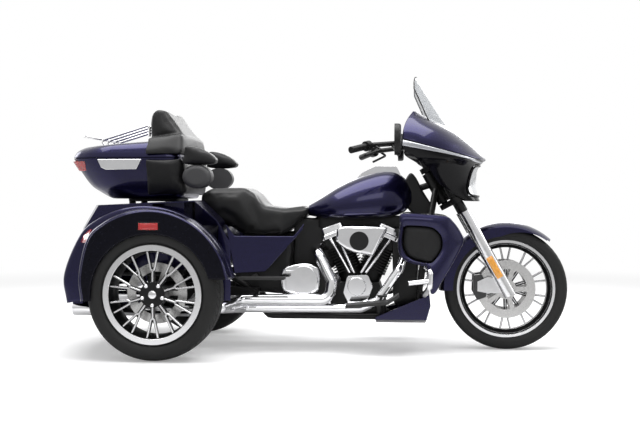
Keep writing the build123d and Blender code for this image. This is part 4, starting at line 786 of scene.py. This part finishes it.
def tyre(name, x, y, radius, width, lip, seat, body, node, blocks=54, rows=61, columns=720):
    """Section points turned about the axle. With s across the tread and t round it, a groove is cut where
    the saw wave of t * blocks + |s| * 2 is low, and all along two lines of constant s."""
    shape = smooth_line(TYRE_HALF, rows // 2 + 1)
    half = np.stack([lip + shape[:, 0] * (radius - lip), shape[:, 1] * width / 2], axis=1)
    section = np.concatenate([half * (1, -1), half[::-1][1:]])
    s = section[:, 1] / (width / 2)
    turn = np.linspace(0.0, 1.0, columns, endpoint=False)
    wave = (turn[None, :] * blocks + np.abs(s)[:, None] * 2.2 * np.sign(s)[:, None]) % 1.0
    tread = (np.abs(s) < 0.86) & (section[:, 0] > lip + 0.80 * (radius - lip))
    cut = (wave < 0.16) & (np.abs(s)[:, None] > 0.16)
    line = (np.abs(np.abs(s) - 0.34) < 0.05)[:, None]
    depth = 0.0045 * ((cut | line) & tread[:, None])
    up = (section[:, 0] - lip) / (radius - lip)
    ribs = 0.0012 * (np.exp(-((up - 0.30) / 0.020) ** 2) + np.exp(-((up - 0.62) / 0.020) ** 2))
    r = section[:, :1] - depth
    side = (section[:, 1] + np.sign(section[:, 1]) * ribs)[:, None]
    angle = 2 * np.pi * turn[None, :]
    grid = np.stack([x + r * np.cos(angle), y + side + 0 * angle, radius + r * np.sin(angle)], axis=-1)
    round_seat = seat * np.stack([np.cos(angle[0]), 0 * angle[0], np.sin(angle[0])], axis=1)
    bead = round_seat + np.array([x, y, radius])
    ends = [bead + np.array([0.0, d, 0.0]) for d in (-width / 2 * 0.78, width / 2 * 0.78)]
    grid = np.concatenate([ends[0][None], grid, ends[1][None], ends[0][None]])
    surface(name, [(grid, True, 0)], ["tyre_rubber"], body, sharp=24.0, replaces=(node,))


FRONT_X, FRONT_Z, REAR_Y = 0.9907, 0.3193, 0.56
tyre("front_tyre_tread", FRONT_X, 0.0, FRONT_Z, 0.130, 0.257, 0.2418, "front_wheel", "front_tyre", blocks=60)
tyre("rear_tyre_tread_right", AXLE_X, -REAR_Y, AXLE_Z, 0.215, 0.2455, 0.2289, "rear_wheel_right",
     "rear_tyre_right")
tyre("rear_tyre_tread_left", AXLE_X, REAR_Y, AXLE_Z, 0.215, 0.2455, 0.2289, "rear_wheel_left",
     "rear_tyre_left")

# %% [markdown]
# The wheels are cast, painted black and then turned and milled bright in places: a broad ring on the rim's
# lip, and a ridge along each spoke that forks with it. The ridges are one small profile carried along a stem
# and two arms, and turned to all ten places in one array. Domed bolts hold the rear wheels.

# %% Bright rings, ridges and bolts
def ring_about(x, y, z, profile, count=180):
    """A profile of radius and depth turned about an axle along y."""
    angle = np.linspace(0.0, 2 * np.pi, count, endpoint=False)[None, :]
    r, d = (np.asarray(profile, dtype=float)[:, k, None] for k in (0, 1))
    return np.stack([x + r * np.cos(angle), y + d + 0 * angle, z + r * np.sin(angle)], axis=-1)


def lip_ring(inner, outer, depth, out):
    """A flat turned ring with rounded edges, standing out by 2 mm on the side that out points to."""
    rise = [(inner, -0.004), (inner, 0.0008), (inner + 0.0015, 0.0020), (outer - 0.002, 0.0020),
            (outer, 0.0006), (outer, -0.004)]
    return [(r, out * (depth + d)) for r, d in rise]


def ridge_grid(line, face, out, width):
    """A low ridge along a line of (radius, sideways) points on a spoke's face: a strip with a flat top and
    sloping sides."""
    line = np.asarray(line, dtype=float)
    along = np.gradient(line, axis=0)
    along = along / np.linalg.norm(along, axis=1)[:, None]
    side = np.stack([-along[:, 1], along[:, 0]], axis=1)
    profile = np.array([(-0.5, -0.5), (-0.28, 1.0), (0.28, 1.0), (0.5, -0.5)])
    flat = line[:, None] + side[:, None] * profile[None, :, :1] * width
    depth = np.broadcast_to(face + out * profile[None, :, 1] * 0.0014, flat.shape[:2])
    return np.stack([flat[..., 0], depth, flat[..., 1]], axis=-1)


def around_wheel(grids, x, y, z, places, start=0.5 * np.pi):
    """Each grid copied to every place round the axle by one turning matrix for each place."""
    angle = start + 2 * np.pi * np.arange(places) / places
    c, s, o = np.cos(angle), np.sin(angle), np.zeros(places)
    turn = np.stack([np.stack([c, o, -s], -1), np.stack([o, o + 1, o], -1), np.stack([s, o, c], -1)], -2)
    return [np.einsum("ij,rcj->rci", m, grid) + np.array([x, y, z]) for m in turn for grid in grids]


def spoke_lines(hub, fork, rim, spread, first):
    """The stem and the two arms: the arms leave the fork side by side and open evenly to the rim."""
    stem = np.array(((hub, 0.0), ((hub + fork) / 2, 0.0), (fork, 0.0)))
    r = np.linspace(0.0, 1.0, 8)
    arm = np.stack([fork + (rim - fork) * r, first + (spread - first) * r], axis=1)
    foot = np.array([(fork - 0.006, first * 0.3)])
    arm = np.vstack([foot, arm])
    return [stem, arm, arm * (1, -1)]


def dome(radius, height, count=16, rows=7):
    """A domed bolt head: circles that shrink with the cosine and rise with the sine."""
    a = np.linspace(0.0, 0.5 * np.pi, rows)[:, None]
    angle = np.linspace(0.0, 2 * np.pi, count, endpoint=False)[None, :]
    return np.stack([radius * np.cos(a) * np.cos(angle), height * np.sin(a) + 0 * angle,
                     radius * np.cos(a) * np.sin(angle)], axis=-1)


# Columns: name, body, axle x, wheel y, axle z, face sign, lip depth, lip radii, spoke face, hub, fork, rim,
# spread, ridge width
WHEELS = (
    ("rear_right", "rear_wheel_right", AXLE_X, -REAR_Y, AXLE_Z, -1, 0.0945, (0.214, 0.243), 0.080, 0.060,
     0.122, 0.209, 0.0265, 0.0100),
    ("rear_left", "rear_wheel_left", AXLE_X, REAR_Y, AXLE_Z, 1, 0.0945, (0.214, 0.243), 0.080, 0.060,
     0.122, 0.209, 0.0265, 0.0100),
    ("front_right", "front_wheel", FRONT_X, 0.0, FRONT_Z, -1, 0.0520, (0.240, 0.256), 0.014, 0.058, 0.126,
     0.218, 0.0275, 0.0070),
    ("front_left", "front_wheel", FRONT_X, 0.0, FRONT_Z, 1, 0.0520, (0.240, 0.256), 0.014, 0.058, 0.126,
     0.218, 0.0275, 0.0070),
)
for (name, body, x, y, z, out, lip_depth, lip_radii, spoke_face, hub, fork, rim, spread, ridge) in WHEELS:
    sheets = [(ring_about(x, y, z, lip_ring(*lip_radii, lip_depth, out)), True, 0)]
    lines = spoke_lines(hub, fork, rim, spread, 0.0085)
    ridges = [ridge_grid(line, out * spoke_face, out, ridge) for line in lines]
    sheets += [(grid, False, 0) for grid in around_wheel(ridges, x, y, z, 10)]
    surface(f"bright_trim_{name}", sheets, ["machined_face"], body, sharp=30.0, outwards=False)

BOLTS, BOLT_CIRCLE, HUB_FACE = 5, 0.052, 0.084
for side, body in ((-1, "rear_wheel_right"), (1, "rear_wheel_left")):
    head = dome(0.0115, 0.010) * (1, side, 1) + np.array([BOLT_CIRCLE, side * HUB_FACE, 0.0])
    heads = around_wheel([head], AXLE_X, side * REAR_Y, AXLE_Z, BOLTS, start=math.radians(54))
    cap = dome(0.020, 0.005, count=32) * (1, side, 1)
    cap = cap + np.array([AXLE_X, side * (REAR_Y + HUB_FACE), AXLE_Z])
    sheets = [(grid, True, 0) for grid in heads] + [(cap, True, 1)]
    surface("hub_bolts_" + body[11:], sheets, ["chrome", "satin_chrome"], body, sharp=50.0)

# %% [markdown]
# Seat and pads are foam under leather. Each starts as a voxel copy of its packed block, a little smaller and
# smoothed, and is then blown up a few millimetres by the cloth solver, so that the cover rounds itself and
# pulls in at its corners. How far any point may move is capped, and the result is applied. A light smoothing
# and one subdivision then take the last of the voxels away.

# %% Cushions
def evaluated(piece):
    """The mesh that a piece's modifiers give."""
    bpy.context.view_layer.update()
    return bpy.data.meshes.new_from_object(piece.evaluated_get(bpy.context.evaluated_depsgraph_get()))


def co_array(mesh):
    """All points of a mesh as one array."""
    spots = np.empty(len(mesh.vertices) * 3)
    mesh.vertices.foreach_get("co", spots)
    return spots.reshape(-1, 3)


LAST_FRAME = 20


def cushion(node, voxel, shrink, cap, pressure=4.0, rounding=12):
    """Voxel copy, rounded and shrunk along its normals, blown up by cloth, capped and subdivided once."""
    mesh = NODES[node].data.copy()
    work = bmesh.new()
    work.from_mesh(mesh)
    bmesh.ops.remove_doubles(work, verts=work.verts, dist=0.00002)
    work.to_mesh(mesh)
    work.free()
    piece = bpy.data.objects.new(f"{node}_cover", mesh)
    bpy.context.scene.collection.objects.link(piece)
    remesh = piece.modifiers.new("voxels", "REMESH")
    remesh.mode, remesh.voxel_size = "VOXEL", voxel
    rounder = piece.modifiers.new("round", "SMOOTH")
    rounder.factor, rounder.iterations = 0.5, rounding
    made = evaluated(piece)
    piece.modifiers.clear()
    piece.data = made
    spots = co_array(made)
    normals = np.empty(len(made.vertices) * 3)
    made.vertices.foreach_get("normal", normals)
    start = spots - normals.reshape(-1, 3) * shrink
    made.vertices.foreach_set("co", start.ravel())
    cloth = piece.modifiers.new("cover", "CLOTH")
    cloth.settings.use_pressure = True
    cloth.settings.uniform_pressure_force = pressure
    cloth.settings.effector_weights.gravity = 0.0
    cloth.settings.quality = 3
    for number in range(1, LAST_FRAME + 1):
        bpy.context.scene.frame_set(number)
    blown = evaluated(piece)
    moved = co_array(blown) - start
    length = np.linalg.norm(moved, axis=1, keepdims=True)
    moved = moved * np.minimum(1.0, cap / np.maximum(length, 1e-9))
    piece.modifiers.clear()
    bpy.context.scene.frame_set(1)
    made.vertices.foreach_set("co", (start + moved).ravel())
    made.update()
    made.materials.clear()
    made.materials.append(FINISHES["leather"])
    made.shade_smooth()
    calm = piece.modifiers.new("calm", "SMOOTH")
    calm.factor, calm.iterations = 0.5, 6
    finer = piece.modifiers.new("finer", "SUBSURF")
    finer.levels = finer.render_levels = 1
    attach(piece, BODY_OF[node])
    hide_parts(node)
    print(piece.name, len(made.vertices), "points")
    return piece


# Columns: node, voxel, shrink, cap
CUSHIONS = (
    ("seat", 0.009, 0.004, 0.009), ("back_pad_lower", 0.009, 0.002, 0.007),
    ("back_pad_upper", 0.009, 0.004, 0.009), ("armrests", 0.0075, 0.003, 0.006),
)
for row in CUSHIONS:
    cushion(*row)

# %% [markdown]
# Each lower is a moulded leg shield: a hooked band that runs forwards along the top and down the front, with
# a dark pocket and its round-edged lid inside the hook. The outer outline and the pocket's outline are two
# smooth loops with the same count of points, and the shield's face is the sheet between them.

# %% Leg shields
SHIELD_OUTER = np.array((
    (0.448, 0.655), (0.446, 0.690), (0.462, 0.711), (0.560, 0.708), (0.668, 0.697), (0.704, 0.672),
    (0.738, 0.626), (0.756, 0.580), (0.738, 0.535), (0.692, 0.455), (0.650, 0.382), (0.618, 0.328),
    (0.596, 0.330), (0.596, 0.392), (0.604, 0.450), (0.560, 0.462), (0.500, 0.474), (0.452, 0.505),
    (0.440, 0.560), (0.444, 0.610)))
POCKET = np.array((
    (0.462, 0.640), (0.466, 0.650), (0.482, 0.657), (0.545, 0.656), (0.602, 0.648), (0.630, 0.630),
    (0.650, 0.604), (0.656, 0.572), (0.652, 0.540), (0.638, 0.512), (0.622, 0.490), (0.606, 0.474),
    (0.592, 0.470), (0.578, 0.470), (0.560, 0.474), (0.534, 0.480), (0.506, 0.490), (0.476, 0.512),
    (0.458, 0.552), (0.456, 0.600)))
# Half width of the face, of the hollow between the shields, and the depth of the pocket. The hollow leaves
# room for the fork to turn.
SHIELD_Y, SHIELD_INNER, POCKET_DEPTH = 0.388, 0.262, 0.014
# Columns: share of the pocket's outline, how far behind the face
POCKET_LID = ((0.97, 0.012), (0.94, 0.0), (0.88, -0.006), (0.70, -0.010), (0.40, -0.012), (0.02, -0.0125))


def loop_line(points, count=240):
    """A closed smooth curve through points: the smooth line with its ends wrapped round."""
    rows = np.asarray(points, dtype=float)
    wrapped = np.concatenate([rows[-2:], rows, rows[:3]])
    steps = 40
    fine = smooth_line(wrapped, (len(wrapped) - 1) * steps + 1)[2 * steps:(2 + len(rows)) * steps]
    place = np.linspace(0, len(fine), count, endpoint=False).astype(int)
    return fine[place]


def front_bow(x, y_edge):
    """How far the shield's outer face stands out at x: it draws in towards the wheel in front."""
    drawn_in = np.interp(x, (0.43, 0.600, 0.680, 0.762), (0.004, 0.0, 0.016, 0.070))
    return y_edge - drawn_in


def shield(side):
    """Back, inner wall, rolled edge and face from one outline to the other, then the pocket's wall and its
    lid, as sheets of one piece. The roll is a quarter turn: 12 mm deep and 6 mm outwards."""
    outer, pocket = loop_line(SHIELD_OUTER), loop_line(POCKET)
    middle = outer.mean(axis=0)
    t = np.linspace(0.0, 1.0, 12)[:, None, None]
    face = outer * (1 - t) + pocket * t
    bulge = 0.010 * np.sin(np.pi * t[..., 0]) ** 0.8
    depth = front_bow(face[..., 0], SHIELD_Y) + bulge
    face = np.stack([face[..., 0], -depth, face[..., 1]], axis=-1)
    a = np.linspace(0.0, 0.5 * np.pi, 7)[1:, None]
    inward = (middle - outer) / np.linalg.norm(middle - outer, axis=1)[:, None]
    roll_y = -(front_bow(outer[:, 0], SHIELD_Y)[None] - 0.012 * (1 - np.cos(a)))
    roll_flat = outer[None] - inward[None] * (0.006 * np.sin(a))[..., None]
    roll = np.stack([roll_flat[..., 0], roll_y, roll_flat[..., 1]], axis=-1)
    deep = roll[-1] * (1, 0, 1) - np.array([0.0, SHIELD_INNER, 0.0])
    wall = np.stack([roll[-1], roll[-1] * 0.5 + deep * 0.5, deep])
    cover = np.concatenate([wall[::-1], roll[::-1][1:], face])
    pocket_sheet = np.stack([face[-1] + np.array([0.0, d, 0.0]) for d in (0.0, 0.004, POCKET_DEPTH)])
    inner = pocket_sheet[-1]
    centre = inner.mean(axis=0)
    lid_rings = [centre + (inner - centre) * k + np.array([0.0, d, 0.0]) for k, d in POCKET_LID]
    lid_sheet = np.stack([inner, *lid_rings])
    back = np.concatenate([deep[None], shut(deep)])
    sheets = [(cover, True, 0), (pocket_sheet, True, 1), (lid_sheet, True, 1), (back, True, 1)]
    if side > 0:
        sheets = [(mirrored(grid), around, kind) for grid, around, kind in sheets]
    return sheets


shield_sheets = shield(-1) + shield(1)
surface("leg_shields", shield_sheets, ["midnight_paint", "moulded_black"], "chassis", sharp=40.0,
        replaces=("leg_fairings", "lower_pods"))

# %% [markdown]
# What is left are the small things that a rider knows by heart. Reflectors and side markers are low moulded
# lenses on their panels: a plate that stays nearly level and falls away quickly at its four edges.

# %% Reflectors and side markers
def patch(centre, u, v, out, half_u, half_v, height, blunt=5.0, rows=25, columns=41):
    """A crowned plate: across half_u and half_v it stands height * (1 - |s|^blunt) * (1 - |t|^blunt) out."""
    s = np.linspace(-1.0, 1.0, columns)[None, :, None]
    t = np.linspace(-1.0, 1.0, rows)[:, None, None]
    u, v, out = (np.asarray(k, dtype=float) for k in (u, v, out))
    rise = height * (1 - np.abs(s) ** blunt) * (1 - np.abs(t) ** blunt) - 0.0015
    return np.asarray(centre) + u * half_u * s + v * half_v * t + out * rise


RAKE = math.radians(29.0)
REFLECTOR_ALONG, FORK_Y = 0.135, 0.1575
leg_along = np.array([-math.sin(RAKE), 0.0, math.cos(RAKE)])
leg_square = np.array([math.cos(RAKE), 0.0, math.sin(RAKE)])
sheets = []
for side in (-1, 1):
    centre = np.array([FRONT_X, side * FORK_Y, FRONT_Z]) + leg_along * REFLECTOR_ALONG
    sheets.append((patch(centre, leg_along, leg_square, (0, side, 0), 0.060, 0.016, 0.006), False, 0))
surface("fork_reflectors", sheets, ["amber_lens"], "steering", outwards=False, wall=0.002)

sheets = []
for side in (-1, 1):
    centre = (-0.7505, side * 0.6915, 0.6565)
    sheets.append((patch(centre, (1, 0, 0), (0, 0, 1), (0, side, 0), 0.056, 0.022, 0.003), False, 0))
    sheets.append((patch(centre, (1, 0, 0), (0, 0, 1), (0, side, 0), 0.047, 0.0155, 0.006), False, 1))
surface("side_markers", sheets, ["gloss_black", "red_lens"], "chassis", outwards=False, wall=0.002)

# %% [markdown]
# The top case stands on a dark tray, and a long one under the tank hides wires and the tank's seam. A tray's
# plan is a superellipse, which is nearly a rectangle with soft corners, and four such plans make its height.

# %% Trays
def tray(name, x_range, y_half, z_range, finish_name):
    """A closed rounded tray: superellipse plans that draw in at the top and at the bottom."""
    angle = np.linspace(0.0, 2 * np.pi, 96, endpoint=False)[None, :]
    z = np.array([z_range[0], z_range[0] + 0.004, z_range[1] - 0.004, z_range[1]])[:, None]
    k = np.array([0.96, 1.0, 1.0, 0.97])[:, None]
    c, s = np.cos(angle), np.sin(angle)
    x = sum(x_range) / 2 + k * (x_range[1] - x_range[0]) / 2 * np.sign(c) * np.abs(c) ** 0.35
    y = k * y_half * np.sign(s) * np.abs(s) ** 0.35
    rings = np.stack([x, y, z + 0 * angle], axis=-1)
    grid = np.concatenate([shut(rings[0])[::-1], rings, shut(rings[-1])])
    surface(name, [(grid, True, 0)], [finish_name], "chassis", sharp=40.0)


tray("case_tray", (-1.005, -0.735), 0.185, (0.776, 0.7935), "moulded_black")
tray("loom_tray", (0.00, 0.47), 0.070, (0.636, 0.700), "moulded_black")

# %% [markdown]
# Between engine, frame and seat a motorcycle is filled with covers: one over the steering neck, a cooler
# between the front tubes, boxes for the battery and the breather under the seat, and two bright ones over
# the air cleaner and the gearbox. Each is a soft block drawn from its side outline: the outline keeps its
# full size in the middle of the width and shrinks a little towards both faces.

# %% Covers round the engine
def cover_block(name, outline, y_half, body="chassis", finish_name="moulded_black", blunt=0.014, y_mid=0.0,
                replaces=()):
    """Loops of the outline across the width: at share s of it, from -1 to 1, the loop is drawn in by
    blunt * (1 - sqrt(1 - s^4))."""
    loop = loop_line(outline, 160)
    middle = loop.mean(axis=0)
    inward = (middle - loop) / np.linalg.norm(middle - loop, axis=1)[:, None]
    s = np.sin(np.linspace(-0.5 * np.pi, 0.5 * np.pi, 19))
    draw = blunt * (1 - np.sqrt(np.clip(1 - s ** 4, 0, 1)))
    flat = loop[None] + inward[None] * draw[:, None, None]
    across = np.broadcast_to(y_mid - s[:, None] * y_half, flat.shape[:2])
    rings = np.stack([flat[..., 0], across, flat[..., 1]], axis=-1)
    grid = np.concatenate([shut(rings[0])[::-1], rings, shut(rings[-1])])
    return surface(name, [(grid, True, 0)], [finish_name], body, sharp=40.0, replaces=replaces)


# Side outlines, points of x and z
NECK = [(0.440, 0.800), (0.462, 0.880), (0.490, 0.925), (0.520, 0.905), (0.560, 0.830), (0.605, 0.755),
        (0.615, 0.710), (0.560, 0.690), (0.500, 0.715)]
COOLER = [(0.408, 0.240), (0.400, 0.400), (0.404, 0.620), (0.470, 0.634), (0.548, 0.620), (0.540, 0.480),
          (0.528, 0.330), (0.522, 0.240), (0.465, 0.232)]
BATTERY = [(-0.425, 0.300), (-0.430, 0.450), (-0.420, 0.585), (-0.280, 0.594), (-0.140, 0.585),
           (-0.130, 0.450), (-0.136, 0.300), (-0.280, 0.292)]
BREATHER = [(-0.125, 0.430), (-0.128, 0.560), (-0.118, 0.680), (-0.030, 0.688), (0.085, 0.680),
            (0.078, 0.560), (0.090, 0.430), (-0.020, 0.424)]
AIR_COVER = [(0.112, 0.598), (0.117, 0.634), (0.155, 0.649), (0.262, 0.650), (0.366, 0.643), (0.372, 0.630),
             (0.350, 0.585), (0.309, 0.503), (0.292, 0.496), (0.195, 0.514), (0.133, 0.546), (0.109, 0.575)]
GEAR_COVER = [(-0.172, 0.418), (-0.079, 0.452), (0.010, 0.435), (0.024, 0.367), (0.010, 0.304),
              (-0.079, 0.284), (-0.158, 0.303), (-0.178, 0.344)]
cover_block("neck_cover", NECK, 0.048)
cover_block("cooler", COOLER, 0.085, finish_name="satin_black", blunt=0.008)
cover_block("battery_box", BATTERY, 0.118)
cover_block("breather_box", BREATHER, 0.050)
cover_block("air_cleaner_cover", AIR_COVER, 0.038, finish_name="chrome", blunt=0.016, y_mid=-0.162,
            replaces=("air_cleaner",))
cover_block("gearbox_cover", GEAR_COVER, 0.016, finish_name="chrome", blunt=0.012, y_mid=-0.156)

# %% [markdown]
# Three ribs stiffen the gearbox's cover, and a bright strip runs round the tail at bumper height. Both are
# round bars along a line: the ribs' lines are straight, and the strip's is an arc of a wide circle that
# follows the tail.

# %% Ribs and bumper strip
RIB_HEIGHTS = (0.345, 0.372, 0.399)
for number, z in enumerate(RIB_HEIGHTS):
    line = np.stack([np.linspace(-0.135, -0.030, 12), np.full(12, -0.1735), np.full(12, z)], axis=1)
    pipe(f"gearbox_rib_{number + 1}", line, 0.0045, "chrome", "chassis")

TAIL_CENTRE_X, TAIL_R, TAIL_HALF, STRIP_Z = 0.197, 1.503, 0.545, 0.352
tail_y = np.linspace(-TAIL_HALF, TAIL_HALF, 60)
tail_x = TAIL_CENTRE_X - np.sqrt(TAIL_R ** 2 - tail_y ** 2)
tail_line = np.stack([tail_x, tail_y, np.full(60, STRIP_Z)], axis=1)
pipe("bumper_strip", tail_line, 0.004, "satin_chrome", "chassis")

# %% [markdown]
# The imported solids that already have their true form, such as pipes, bars and tubes, only need a finish:
# chrome on the exhaust, satin black on frame and bar, paint on the front fender.

# %% Dress what is left
DRESS = {
    "chrome": ("pushrod_tubes", "exhaust_headers", "mufflers", "engine_guard"),
    "satin_chrome": ("luggage_rack", "fork_sliders"),
    "satin_black": ("rear_axle", "frame", "fork_tubes", "handlebar", "hand_controls", "mirrors",
                    "top_case_mount"),
    "crackle_black": ("cylinders",),
    "pod_grey": ("speaker_pods",),
    "midnight_paint": ("front_fender",),
}
for name, nodes in DRESS.items():
    for node in nodes:
        NODES[node].data.materials.clear()
        NODES[node].data.materials.append(FINISHES[name])
print("dressed", sum(len(nodes) for nodes in DRESS.values()), "packed solids")
